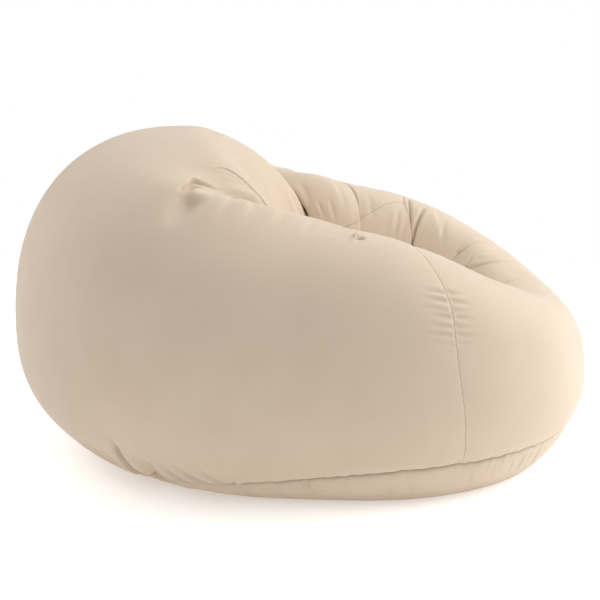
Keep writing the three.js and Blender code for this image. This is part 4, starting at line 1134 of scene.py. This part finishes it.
@dataclass
class Cover:
    """The sewn cloth cover: side, front, inner and seat panels, and the base."""

    fine: float = 2.0 * MM
    coarse: float = 5.0 * MM
    spread: float = 60 * MM
    gap: float = 0.12 * MM
    turned: float = 2 * MM
    allowance: float = 8 * MM
    roll: tuple = (0.6 * MM, 1.2 * MM, 1.3 * MM)
    window_radius: float = 36 * MM
    window_reach: float = 40 * MM
    binding: tuple = (2.6 * MM, 1.1 * MM)
    binding_offset: float = 2.0 * MM
    tuck: tuple = (-0.03, -0.012)
    seat_puckers: int = 46
    hollow: float = 9 * MM
    foot: float = 25 * MM
    slope: float = 20 * MM
    panels: tuple = (
        Panel("cover_side_right", (SIDE_SEAM, BACK), (BASE_ROW, ARM_ROW), (9, 11.2, 15.2, 16.6, 20), SIDE_ROWS),
        Panel("cover_side_left", (BACK, ROUND - SIDE_SEAM), (BASE_ROW, ARM_ROW), (20, 23.4, 24.8, 28.8, 31),
              SIDE_ROWS),
        Panel("cover_front", (-SIDE_SEAM, SIDE_SEAM), (BASE_ROW, FRONT_ROW), (-9, -6, 6, 9),
              (0, 4.6, 5.6, 6.6, 11, 12)),
        Panel("cover_front_inner", (-SIDE_SEAM, SIDE_SEAM), (FRONT_ROW, SEAT_ROW), (-9, -6, 6, 9), (12, 14)),
        Panel("cover_arm_inner_right", (SIDE_SEAM, VALLEY), (ARM_ROW, SEAT_ROW), (9, 12, 13.5, 15), (10, 12, 14)),
        Panel("cover_arm_inner_left", (-VALLEY, -SIDE_SEAM), (ARM_ROW, SEAT_ROW), (-15, -12, -9), (10, 12, 14)),
        Panel("cover_backrest_face", (VALLEY, ROUND - VALLEY), (ARM_ROW, SEAT_ROW), (15, 25), (10, 14)),
    )

    def build(self) -> None:
        """Builds every panel of the cover."""
        for panel in self.panels:
            self.build_panel(panel)
        self.build_seat()
        self.build_base()

    def places(self, panel: Panel) -> tuple:
        """Columns and rows of a panel's grid."""
        (first, last), (low, high) = panel.columns, panel.rows
        middle = np.linspace(low, high, 5)
        sizes = self.fine, self.coarse, self.spread
        return (graded(first, last, panel.fine_columns, pace(0, middle), *sizes),
                graded(low, high, panel.fine_rows, pace(1, np.linspace(first, last, 7)), *sizes))

    def build_panel(self, panel: Panel) -> None:
        """Builds one panel with its seam allowances turned in and pressed flat behind it."""
        columns, rows = self.places(panel)
        patch = SKIN.patch(columns, rows)
        points = RELIEF.press(patch)
        normals = grid_normals(points)
        points = self.drawn_back(points)
        flat = flat_grid(points)
        ways = []
        for axis in (0, 1):
            metres = lengths_over(points)[axis]
            count = len(metres)
            near = int(np.searchsorted(metres, self.turned))
            far = max(near + 1, int(np.searchsorted(metres, self.allowance)))
            index = [far, near, 0, *range(count), count - 1, count - 1 - near, count - 1 - far]
            depth = [self.roll[2], self.roll[1], self.roll[0], *[0.0] * count, *self.roll]
            ways.append((np.array(index), np.array(depth)))
        pick = np.ix_(ways[0][0], ways[1][0])
        depth = ways[0][1][:, None] + ways[1][1][None]
        points = points[pick] - normals[pick] * depth[..., None]
        flat = flat[pick]
        faces = grid_faces(*points.shape[:2])
        points, flat = points.reshape(-1, 3), flat.reshape(-1, 2)
        if panel.name == "cover_side_right":
            points, flat, faces, rim = with_hole(points, flat, faces, self.window_radius, self.window_reach)
            self.build_binding(rim[np.argsort(np.arctan2(rim[:, 1], rim[:, 0]))])
        OVER.add(points)
        make_sheet(COVER, panel.name, points, faces, flat)

    def drawn_back(self, points: Array) -> Array:
        """Points with the panel's edges drawn back by half the gap of a seam."""
        points = points.copy()
        for edge, inner in ((0, 1), (-1, -2)):
            points[edge] += unit(points[inner] - points[edge]) * self.gap
            points[:, edge] += unit(points[:, inner] - points[:, edge]) * self.gap
        return points

    def build_binding(self, rim: Array) -> None:
        """Binds the window's edge with a folded tape that follows the cloth.

        Args:
            rim: Points of the window's rim in the valve's own frame, in order round it.
        """
        turn = np.radians(np.arange(0, 360, 4))
        angle = np.arctan2(rim[:, 1], rim[:, 0])
        level = np.interp(turn, np.concatenate([angle - 2 * np.pi, angle, angle + 2 * np.pi]), np.tile(rim[:, 2], 3))
        level = np.convolve(np.tile(level, 3), np.ones(5) / 5, "same")[len(turn):2 * len(turn)]
        section = np.radians(np.arange(0, 360, 36))
        out, up = self.binding[0] * np.cos(section), self.binding[1] * np.sin(section)
        radius = self.window_radius + self.binding_offset + out[None]
        place = np.stack([radius * np.cos(turn)[:, None], radius * np.sin(turn)[:, None],
                          level[:, None] + up[None] + 0 * radius], -1)
        faces = grid_faces(len(turn), len(section), True, True)
        flat = np.stack(np.broadcast_arrays(self.window_radius * turn[:, None], (3 * MM * section)[None]), -1)
        settle(make_piece("valve_window_binding", VALVE.world(place), faces, flat), Finish.TAPE)

    def build_seat(self) -> None:
        """Builds the crowned seat panel, drawn down along its rim."""
        rim = seat_rim(360)
        shares = np.concatenate([self.tuck, np.linspace(0, 1, 62)[:-1] ** 1.15])
        points = self.crowned(rim, np.clip(shares, 0, 1), SKIN.seat_rim)
        points[..., 2] -= np.where(shares < 0, -shares * 0.1, 0)[None]
        points += self.seat_waves(points, shares)
        centre = np.array([[0, SKIN.seat_y, float(points[:, -1, 2].mean())]])
        points = np.concatenate([points.reshape(-1, 3), centre])
        make_sheet(COVER, "cover_seat", points, hub_faces(len(rim), len(shares)), points[:, :2])

    @staticmethod
    def crowned(rim: Array, shares: Array, rim_height: float, crown: float = 24 * MM) -> Array:
        """Rings from a rim to the seat's middle over a low crown."""
        centre = np.array([0, SKIN.seat_y, rim_height])
        points = rim[:, None] + (centre - rim[:, None]) * shares[None, :, None]
        points[..., 2] = rim_height + crown * shares * (2 - shares)
        return points

    def seat_waves(self, points: Array, shares: Array) -> Array:
        """Puckers along the seat's rim and broad waves over it."""
        chance = np.random.default_rng(31)
        around = np.arctan2(points[..., 0], -(points[..., 1] - SKIN.seat_y))
        shares = np.maximum(shares, 0)
        lift = np.zeros(around.shape)
        for _ in range(self.seat_puckers):
            middle, tall, reach = chance.uniform(-np.pi, np.pi), chance.uniform(0.4, 1.6), chance.uniform(0.05, 0.22)
            away = (np.mod(around - middle + np.pi, 2 * np.pi) - np.pi) / chance.uniform(0.02, 0.05)
            bump = hump(away) - 0.6 * hump(away, 1.6)
            lift += tall * MM * bump * np.exp(-((shares / reach) ** 1.4))[None]
        x, y = points[..., 0], points[..., 1]
        middle = ramp(0.0, 0.3, shares)[None]
        lift += middle * (1.6 * MM * np.sin(x * 24 + 1.3 * np.sin(y * 17)) + 1.4 * MM * np.sin(y * 29 + x * 11))
        waves = np.zeros(points.shape)
        waves[..., 2] = lift
        return waves

    def build_base(self) -> None:
        """Builds the base: the band below the seam, the foot, and the hollow middle with the zip's slot."""
        columns = np.linspace(ROUND, 0, 601)[:-1]
        band = SKIN.patch(columns, np.linspace(LOOP, OUTER_FOOT, 15))
        points = RELIEF.press(band)
        inner = SKIN.patch(columns, np.array([INNER_FOOT])).point[:, 0]
        inwards = unit((np.array([0, SKIN.seat_y, 0]) - inner) * [1, 1, 0])
        rings = [points[:, k] for k in range(points.shape[1])]
        # The foot lies flat on the floor
        outer = rings[-1]
        edge = inner + inwards * self.foot
        edge[:, 2] = 0
        rings += [outer + (edge - outer) * share for share in np.linspace(0, 1, 22)[1:]]
        # A slope leads up into the hollow, whose ceiling ends at the slot with a turned edge
        top = edge + inwards * self.slope
        rings += [edge + (top - edge) * share + np.array([0, 0, self.hollow * float(ramp(0, 1, share))])
                  for share in np.linspace(0, 1, 7)[1:]]
        slot = self.slot_rim(columns)
        ceiling = top * [1, 1, 0]
        rise = np.array([0, 0, self.hollow])
        rings += [ceiling + rise + (slot - ceiling - rise) * share for share in np.linspace(0, 1, 26)[1:]]
        rings += [slot + [0, 0, 1.4 * MM], slot + (ceiling + rise - slot) * 0.05 + [0, 0, 1.45 * MM]]
        points = np.stack(rings, 1)
        # The allowance at the seam is turned in behind the band
        normals = grid_normals(points)
        turned = [points[:, ring] - normals[:, ring] * self.roll[depth] for ring, depth in ((5, 2), (0, 0))]
        points = np.concatenate([np.stack(turned, 1), points], 1)
        points[..., 2] = np.maximum(points[..., 2], 0)
        OVER.add(points[:, :18])
        faces = grid_faces(*points.shape[:2], True)
        make_sheet(COVER, "cover_base", points, faces, points[..., :2])

    def slot_rim(self, columns: Array) -> Array:
        """Points on the zip slot's outline, one for each column."""
        angle = np.radians(np.asarray(SKIN.angle_at(columns, SKIN.outer_low)))
        side = np.clip(1.1 * np.sin(angle), -1, 1)
        turned = np.clip((np.degrees(np.abs(angle)) - 90) / 24.6, -1, 1)
        return np.stack([ZIP.half_slot * side, ZIP.y + ZIP.half_opening * turned,
                         np.full_like(side, self.hollow)], -1)


def with_hole(points: Array, flat: Array, faces: Array, radius: float, reach: float) -> tuple:
    """A sheet with a round hole about the valve, and the sheet's rim moved onto the hole's circle.

    Args:
        points: The sheet's points.
        flat: Their places on the flat cloth.
        faces: Its faces.
        radius: The hole's radius.
        reach: How far in front of the valve or behind it the sheet is still cut.

    Returns:
        What is left of the points, flat places and faces, and the rim's points in the valve's own frame.
    """
    place = VALVE.local(points)
    away = np.hypot(place[:, 0], place[:, 1])
    inside = (away < radius) & (np.abs(place[:, 2]) < reach)
    faces = faces[~inside[faces].all(1)]
    used = np.unique(faces)
    rim = used[inside[used]]
    place[rim, :2] *= (radius / away[rim])[:, None]
    points = points.copy()
    points[rim] = VALVE.world(place[rim])
    return points[used], flat[used], np.searchsorted(used, faces), place[rim]


def seat_rim(count: int) -> Array:
    """Places all round the rim of the seat well, on the cloth."""
    columns = np.linspace(0, ROUND, count + 1)[:-1]
    return RELIEF.press(SKIN.patch(columns, np.array([SEAT_ROW - 0.001, SEAT_ROW])))[:, 1]


def grid_normals(points: Array) -> Array:
    """Outward normals of a grid of points, columns first."""
    return unit(np.cross(np.gradient(points, axis=0), np.gradient(points, axis=1)))


# ---- valve ----


@dataclass(frozen=True)
class Valve:
    """The valve low on the back: its frame, and the parts that keep their solids' shape."""

    centre: tuple = (0.143774, 0.530985, 0.215085)
    across: tuple = (-0.968641, 0.248464, 0.0)
    up: tuple = (0.019233, 0.074982, 0.996999)
    out: tuple = (0.247718, 0.965735, -0.077409)
    edge: float = 0.35 * MM

    @property
    def axes(self) -> Array:
        """The frame's three directions, one a row."""
        return np.array([self.across, self.up, self.out])

    def local(self, points: Array) -> Array:
        """Points of the chair in the valve's own frame."""
        return (points - np.array(self.centre)) @ self.axes.T

    def world(self, points: Array) -> Array:
        """Points of the valve's own frame in the chair's."""
        return np.asarray(points) @ self.axes + np.array(self.centre)

    def build(self) -> None:
        """Gives the valve's parts rounded edges and their finishes."""
        for node in ("valve_flange", "valve_body", "valve_cap"):
            rounded_copy(node, node + "_moulded", self.edge, Finish.VALVE)
        rounded_copy("valve_flap", "valve_flap_moulded", self.edge, Finish.RUBBER)


MERGE_GAP = 0.01 * MM
FLAT_ANGLE, SMOOTH_ANGLE, SHARP_ANGLE = math.radians(2), math.radians(30), math.radians(35)


def rounded_copy(node: str, name: str, width: float, finish: Finish) -> Piece:
    """Copies a hard solid with its edges rounded, and shows the copy in its place.

    Args:
        node: The solid's node.
        name: The new piece's name.
        width: Width of the rounding.
        finish: The piece's finish.

    Returns:
        The new piece.
    """
    source = frame["nodes"][node]
    piece = bpy.data.objects.new(name, source.data.copy())
    bpy.context.scene.collection.objects.link(piece)
    bpy.ops.object.select_all(action="DESELECT")
    bpy.context.view_layer.objects.active = piece
    piece.select_set(True)
    bpy.ops.object.mode_set(mode="EDIT")
    bpy.ops.mesh.select_all(action="SELECT")
    bpy.ops.mesh.remove_doubles(threshold=MERGE_GAP)
    bpy.ops.mesh.dissolve_limited(angle_limit=FLAT_ANGLE)
    bpy.ops.object.mode_set(mode="OBJECT")
    bevel = piece.modifiers.new("edges", "BEVEL")
    bevel.width = width
    bevel.segments = 2
    bevel.limit_method = "ANGLE"
    bevel.angle_limit = SHARP_ANGLE
    bevel.use_clamp_overlap = True
    bpy.ops.object.modifier_apply(modifier=bevel.name)
    bpy.ops.object.shade_smooth_by_angle(angle=SMOOTH_ANGLE)
    return settle(piece, finish, body=source["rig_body"], replaces=[node])


# ---- zip ----


@dataclass(frozen=True)
class Zip:
    """The underside zip: woven tapes, nylon coils, slider, pull and stops."""

    length: float = 0.4
    y: float = SKIN.seat_y - 0.020
    half_slot: float = 0.204
    half_opening: float = 7 * MM
    overrun: float = 6 * MM
    half_gap: float = 0.7 * MM
    tape_width: float = 14 * MM
    tape_low: float = 10.8 * MM
    tape_high: float = 11.6 * MM
    coil_middle: tuple = (1.9 * MM, 9.6 * MM)
    coil_half: tuple = (0.85 * MM, 0.55 * MM)
    wire: float = 0.34 * MM
    pitch: float = 1.6 * MM
    wave: float = 0.12 * MM
    wave_pace: float = 190
    edge: float = 0.22 * MM

    def build(self) -> None:
        """Builds both half chains, and dresses the metal parts."""
        for side, sign in (("front", -1), ("back", 1)):
            self.build_tape(side, sign)
            self.build_coil(side, sign)
        for node in ("zip_slider", "zip_pull", "zip_stop_left", "zip_stop_right"):
            rounded_copy(node, node + "_cast", self.edge, Finish.METAL)

    def build_tape(self, side: str, sign: int) -> None:
        """Builds one woven tape, a little wavy."""
        half = self.length / 2 + self.overrun
        x = np.linspace(-half, half, 201)
        y = np.linspace(0, self.tape_width, 9)
        grid_x, grid_y = np.meshgrid(x, y, indexing="ij")
        wave = self.wave * np.sin(grid_x * self.wave_pace) * (grid_y / self.tape_width)
        rims = (grid_y < 1e-6) | (grid_y > self.tape_width - 1e-6)
        layers = []
        for level in (self.tape_low, self.tape_high):
            middle = (self.tape_low + self.tape_high) / 2
            thin = middle + (level - middle) * np.where(rims, 0.3, 0.7)
            layers.append(np.stack([grid_x, self.y + sign * (self.half_gap + grid_y), thin + wave], -1))
        points = np.concatenate(layers, 1)
        index = np.concatenate([np.arange(9), 9 + np.arange(9)[::-1]])
        points = points[:, index] if sign < 0 else points[:, index[::-1]]
        body = grid_faces(len(x), 18, False, True)
        ends = [list(range(18))[::-1], [(len(x) - 1) * 18 + k for k in range(18)]]
        flat = np.stack([points[..., 0], points[..., 1]], -1)
        piece = make_piece(f"zip_tape_{side}_woven", points, [*body.tolist(), *ends], flat)
        settle(piece, Finish.TAPE, replaces=[f"zip_tape_{side}"])

    def build_coil(self, side: str, sign: int) -> None:
        """Builds one nylon coil as a wound wire."""
        steps = 10
        turns = int(self.length / self.pitch) - 1
        turn = np.linspace(0, 2 * np.pi * turns, turns * steps + 1)
        start = -turns * self.pitch / 2
        line = np.stack([start + turn / (2 * np.pi) * self.pitch,
                         self.y + sign * (self.coil_middle[0] + self.coil_half[0] * np.cos(turn)),
                         self.coil_middle[1] + self.coil_half[1] * np.sin(turn)], -1)
        ahead = unit(np.gradient(line, axis=0))
        level = unit(np.cross(ahead, [1.0, 0, 0]))
        upright = np.cross(ahead, level)
        ring = np.radians(np.arange(0, 360, 72))
        points = line[:, None] + self.wire * (np.cos(ring)[None, :, None] * level[:, None]
                                              + np.sin(ring)[None, :, None] * upright[:, None])
        body = grid_faces(len(line), 5, False, True)
        ends = [[4, 3, 2, 1, 0], [(len(line) - 1) * 5 + k for k in range(5)]]
        piece = make_piece(f"zip_coil_{side}_wound", points, [*body.tolist(), *ends])
        settle(piece, Finish.COIL, replaces=[f"zip_coil_{side}"])


VALVE = Valve()
ZIP = Zip()


# ---- bladder ----


class Over:
    """Remembers the cover's cloth, so that what lies under it can be kept clear of every fold."""

    def __init__(self) -> None:
        """Starts with no cloth."""
        self.cloth: list = []

    def add(self, points: Array) -> None:
        """Remembers a cloth panel's points."""
        self.cloth.append(np.asarray(points).reshape(-1, 3))

    def close(self) -> None:
        """Sorts the remembered points for the search."""
        cloth = np.concatenate(self.cloth)
        self.tree = KDTree(len(cloth))
        for index, point in enumerate(cloth):
            self.tree.insert(point, index)
        self.tree.balance()

    def sink(self, points: Array, inwards: Array, radius: float, clear: float) -> Array:
        """Moves points inwards until they lie clear under all cloth near them.

        Args:
            points: Places of the sheet under the cloth.
            inwards: Directions in which they may move.
            radius: How far round a point cloth is looked for.
            clear: Least depth under the cloth.

        Returns:
            The moved points, of the same shape.
        """
        flat, ways = points.reshape(-1, 3).copy(), np.broadcast_to(inwards, points.shape).reshape(-1, 3)
        moving = range(len(flat))
        while moving:
            moved = []
            for index in moving:
                point, way = Vector(flat[index]), Vector(ways[index])
                near = self.tree.find_range(point, radius)
                deepest = max(((place - point).dot(way) for place, _, _ in near), default=-clear)
                if deepest + clear > 0.2 * MM:
                    flat[index] += ways[index] * (deepest + clear)
                    moved.append(index)
            moving = moved
        return flat.reshape(points.shape)


OVER = Over()


@dataclass
class Bladder:
    """The welded bladder under the cover: gores, baffles and the seat chamber."""

    depth: float = 4.0 * MM
    weld: float = 7 * MM
    inset: float = 0.01
    row_step: float = 0.125
    cells: int = 5
    search: float = 9 * MM
    clear: float = 1.2 * MM
    baffle_drop: float = 1.5 * MM
    baffle_share: float = 0.65
    baffle_wave: float = 1.8 * MM
    baffle_waves: int = 9
    seat_drop: float = 3.0 * MM
    bucket_floor: float = 13.6 * MM
    valve_hole: float = 24.0 * MM
    valve_flat: tuple = (33 * MM, 75 * MM)
    valve_reach: float = 60 * MM
    under_flange: float = -0.1 * MM
    web_offset: float = 65 * MM
    vent_spacing: float = 80 * MM
    vent_radius: float = 18 * MM
    web_margins: tuple = (1 * MM, 3 * MM, 4 * MM)
    loop: float = 1.6
    baffle_loop: float = 1.2

    def build(self) -> None:
        """Builds every sheet of the bladder."""
        OVER.close()
        joints = (FRONT_JOINT, FRONT_PLEAT, SIDE_SEAM, ARM_PLEAT, VALLEY, BACK)
        names = ("front_corner", "arm_front", "arm_middle", "arm_back", "backrest")
        self.build_gore("bladder_gore_front", -FRONT_JOINT, FRONT_JOINT)
        for name, first, last in zip(names, joints, joints[1:]):
            self.build_gore(f"bladder_gore_{name}_right", first, last)
            self.build_gore(f"bladder_gore_{name}_left", -last, -first)
        for name, column in zip(("front_corner", "arm_front", "side_seam", "arm_pleat", "crease"), joints):
            self.build_baffle(f"bladder_baffle_{name}_right", column)
            self.build_baffle(f"bladder_baffle_{name}_left", -column)
        self.build_baffle("bladder_baffle_back", BACK)
        self.build_seat_top()
        self.build_bucket()
        for side, sign in (("front", -1), ("back", 1)):
            self.build_web(side, sign)

    def build_gore(self, node: str, first: float, last: float) -> None:
        """Builds one gore: a band round the ring, with a weld flange along each joint."""
        rows = np.arange(0, LOOP, self.row_step)
        count = max(6, int((last - first) * self.cells))
        columns = np.linspace(first + self.inset, last - self.inset, count + 1)
        patch = SKIN.patch(columns, rows)
        points = RELIEF.press(patch, True, self.depth)
        points = OVER.sink(points, -patch.normal, self.search, self.clear)
        points[..., 2] = np.maximum(points[..., 2], self.depth)
        flange = points - patch.normal * self.weld
        flange[..., 2] = np.maximum(flange[..., 2], self.depth)
        points = self.flattened_at_valve(points)
        points = np.concatenate([flange[:1], points, flange[-1:]], 0)
        flat = flat_grid(points)
        faces = grid_faces(*points.shape[:2], False, True)
        points, flat = points.reshape(-1, 3), flat.reshape(-1, 2)
        if node == "bladder_gore_backrest_right":
            points, flat, faces, _ = with_hole(points, flat, faces, self.valve_hole, 20 * MM)
        make_sheet(FILM, node, points, faces, flat)

    def flattened_at_valve(self, points: Array) -> Array:
        """Points drawn flat against the back of the valve's flange where it is welded on."""
        place = VALVE.local(points.reshape(-1, 3))
        away = np.hypot(place[:, 0], place[:, 1])
        share = (1 - ramp(*self.valve_flat, away)) * (np.abs(place[:, 2]) < self.valve_reach)
        place[:, 2] += (self.under_flange - place[:, 2]) * share
        return VALVE.world(place).reshape(points.shape)

    def build_baffle(self, node: str, column: float) -> None:
        """Builds one baffle with its vent, drawn into shallow waves between its welds."""
        rows = np.arange(0, LOOP, self.row_step)
        patch = SKIN.patch(np.array([float(column)]), rows)
        rim = RELIEF.press(patch, True, self.depth + self.baffle_drop)[0]
        rim = OVER.sink(rim, -patch.normal[0], self.search, self.clear + self.baffle_drop)
        middle = rim.mean(0)
        shares = np.linspace(0, self.baffle_share, 12)
        points = rim[:, None] + (middle - rim[:, None]) * shares[None, :, None]
        way = unit(np.cross(rim[10] - middle, rim[60] - middle))
        turn = np.arange(len(rows)) / len(rows) * 2 * np.pi
        across = np.sin(np.pi * shares / self.baffle_share)[None]
        wave = self.baffle_wave * np.sin(self.baffle_waves * turn + column)[:, None] * across
        points = points + wave[..., None] * way
        faces = grid_faces(*points.shape[:2], True)
        make_sheet(FILM, node, points, faces, flat_grid(points))

    def build_seat_top(self) -> None:
        """Builds the seat chamber's top sheet under the seat panel."""
        rim = seat_rim(160)
        inwards = unit((np.array([0, SKIN.seat_y, 0]) - rim) * [1, 1, 0])
        rim = rim + inwards * 3 * MM
        shares = np.linspace(0, 1, 25)[:-1]
        points = Cover.crowned(rim, shares, SKIN.seat_rim - self.seat_drop - 2.2 * MM)
        centre = points[:, -1].mean(0)[None]
        points = np.concatenate([points.reshape(-1, 3), centre])
        make_sheet(FILM, "bladder_seat_top", points, hub_faces(len(rim), len(shares)), points[:, :2])

    def build_bucket(self) -> None:
        """Builds the seat chamber's bucket: down the ring's inner wall and in over the base."""
        columns = np.linspace(0, ROUND, 161)[:-1]
        rows = np.linspace(SEAT_ROW, INNER_FOOT - 0.9, 14)
        patch = SKIN.patch(columns, rows)
        wall = RELIEF.press(patch, True, 1.2 * MM)
        wall[:, 0, 2] -= 3 * MM
        foot = wall[:, -1]
        centre = np.array([0, SKIN.seat_y, self.bucket_floor])
        floor = [foot + (centre - foot) * share for share in np.linspace(0, 1, 14)[1:-1]]
        for k, ring in enumerate(floor):
            ring[:, 2] = foot[:, 2] + (self.bucket_floor - foot[:, 2]) * float(ramp(0, 3, k + 1))
        points = np.concatenate([wall, np.stack(floor, 1)], 1)
        faces = hub_faces(len(columns), points.shape[1])
        points = np.concatenate([points.reshape(-1, 3), centre[None]])
        make_sheet(FILM, "bladder_seat_bucket", points, faces, points[:, :2])

    def build_web(self, side: str, sign: int) -> None:
        """Builds one upright web of the seat chamber with three vents."""
        y = SKIN.seat_y + sign * self.web_offset
        node = f"bladder_seat_web_{side}"
        low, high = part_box(node)
        spacing, vent = self.vent_spacing, self.vent_radius
        side_margin, low_margin, top_margin = self.web_margins
        ends = (low.x + side_margin, -spacing / 2, spacing / 2, high.x - side_margin)
        vent_z = (low.z + high.z) / 2
        points, faces = [], []
        turn = np.radians(np.arange(0, 360, 7.5))
        for first, last, vent_x in zip(ends, ends[1:], (-spacing, 0.0, spacing)):
            start = sum(len(block) for block in points)
            way = np.stack([np.cos(turn), np.sin(turn)], -1)
            room = np.stack([np.where(way[:, 0] > 0, last - vent_x, first - vent_x),
                             np.where(way[:, 1] > 0, high.z - top_margin - vent_z, low.z + low_margin - vent_z)], -1)
            slanted = np.abs(way) > 1e-9
            reach = np.min(np.where(slanted, room / np.where(slanted, way, 1), 1e9), -1)
            shares = np.linspace(0, 1, 7)
            radius = vent + (reach[:, None] - vent) * shares[None]
            block = np.stack([vent_x + radius * way[:, :1], y + 0 * radius, vent_z + radius * way[:, 1:]], -1)
            points.append(block.reshape(-1, 3))
            faces.append(grid_faces(*radius.shape, True) + start)
        points = np.concatenate(points)
        make_sheet(FILM, node, points, np.concatenate(faces), points[:, [0, 2]])


# ---- studio ----


@dataclass(frozen=True)
class Softbox:
    """One square softbox: where it stands as seen from the chair, in degrees, and its power in watts."""

    name: str
    azimuth: float
    elevation: float
    power: float


@dataclass(frozen=True)
class Studio:
    """Camera, floor and soft lights."""

    azimuth: float = -87.83
    elevation: float = 10.92
    distance: float = 3.0
    target: tuple = (0.0, 0.0056, 0.283)
    lens: float = 90.0
    world: float = 0.02
    light_size: float = 2.2
    light_distance: float = 3.4
    floor_radius: float = 2.4
    floor_z: float = -0.5 * MM
    floor_tones: tuple = ((0.89, 0.89, 0.89, 1), (0.91, 0.91, 0.91, 1))
    glow_reach: tuple = (0.5, 2.2)
    glow: tuple = (0.35, 0.38)
    softboxes: tuple = (
        Softbox("key_softbox", 25, 15, 48),
        Softbox("front_softbox", -15, 15, 30),
        Softbox("crown_softbox", -10, 42, 52),
        Softbox("far_softbox", 40, 42, 36),
        Softbox("top_softbox", 180, 68, 22),
        Softbox("near_softbox", -125, 42, 47),
        Softbox("back_softbox", 150, 22, 46),
    )

    def build(self) -> None:
        """Sets up the whole studio."""
        self.build_camera()
        self.build_world()
        self.build_floor()
        for softbox in self.softboxes:
            self.build_light(softbox)

    def stand(self, thing: Piece, azimuth: float, elevation: float, distance: float) -> None:
        """Stands a camera or lamp where it faces the chair.

        Args:
            thing: The camera or lamp, not yet in the scene.
            azimuth: Where it stands as seen from the chair: 0 at the front, -90 at the near side, in degrees.
            elevation: How high it stands, in degrees.
            distance: How far away it stands, in metres.
        """
        turn, rise = math.radians(azimuth), math.radians(elevation)
        way = Vector((math.sin(turn) * math.cos(rise), -math.cos(turn) * math.cos(rise), math.sin(rise)))
        thing.location = Vector(self.target) + way * distance
        thing.rotation_euler = (-way).to_track_quat("-Z", "Y").to_euler()
        bpy.context.scene.collection.objects.link(thing)

    def build_camera(self) -> None:
        """Puts the camera at the near side, a little above the arms."""
        camera = bpy.data.objects.new("camera", bpy.data.cameras.new("camera"))
        camera.data.lens = self.lens
        camera.data.sensor_width = 36
        self.stand(camera, self.azimuth, self.elevation, self.distance)
        bpy.context.scene.camera = camera

    def build_world(self) -> None:
        """Lights the scene from all round, and shows plain white behind it."""
        world = bpy.data.worlds.new("studio")
        bpy.context.scene.world = world
        world.use_nodes = True
        tree = world.node_tree
        tree.nodes.clear()
        path = add_node(tree, "ShaderNodeLightPath")
        seen = add_node(tree, "ShaderNodeBackground", {}, {"Color": (1, 1, 1, 1), "Strength": 1.0})
        light = add_node(tree, "ShaderNodeBackground", {}, {"Color": (1, 1, 1, 1), "Strength": self.world})
        mix = add_node(tree, "ShaderNodeMixShader", {},
                       {0: path.outputs["Is Camera Ray"], 1: light.outputs[0], 2: seen.outputs[0]})
        add_node(tree, "ShaderNodeOutputWorld", {}, {"Surface": mix.outputs[0]})
        bpy.context.scene.view_settings.view_transform = "Standard"

    def build_floor(self) -> None:
        """Lays the round pale floor, lit a little from within so that it fades into the white."""
        bpy.ops.mesh.primitive_circle_add(vertices=128, radius=self.floor_radius, fill_type="NGON",
                                          location=(0, 0, self.floor_z))
        floor = bpy.context.object
        floor.name = "studio_floor"
        material, tree, shader = new_material("matt_white_floor_paint")
        place = add_node(tree, "ShaderNodeTexCoord").outputs["Object"]
        colour = blend(tree, noise(tree, place, 1 / 3, 2.0), *self.floor_tones)
        away = add_node(tree, "ShaderNodeVectorMath", {"operation": "LENGTH"}, {0: place}).outputs["Value"]
        glow = add_node(tree, "ShaderNodeMapRange", {}, dict(enumerate((away, *self.glow_reach, *self.glow))))
        set_inputs(tree, shader, {"Base Color": colour, "Emission Strength": glow.outputs[0],
                                  "Emission Color": (1, 1, 1, 1), "Roughness": 0.9, "Specular IOR Level": 0.1})
        floor.data.materials.append(material)

    def build_light(self, softbox: Softbox) -> None:
        """Adds one softbox that faces the chair and isn't seen itself."""
        light = bpy.data.lights.new(softbox.name, "AREA")
        light.shape = "SQUARE"
        light.size = self.light_size
        light.energy = softbox.power
        lamp = bpy.data.objects.new(softbox.name, light)
        lamp.visible_camera = False
        self.stand(lamp, softbox.azimuth, softbox.elevation, self.light_distance)


def main() -> None:
    """Builds the classes in order."""
    logging.basicConfig(level=logging.INFO, format="%(name)s %(message)s")
    RELIEF.prepare()
    for part in (Studio(), Cover(), Bladder(), ZIP, VALVE):
        log.info("building %s", type(part).__name__)
        part.build()


if __name__ == "__main__":
    main()
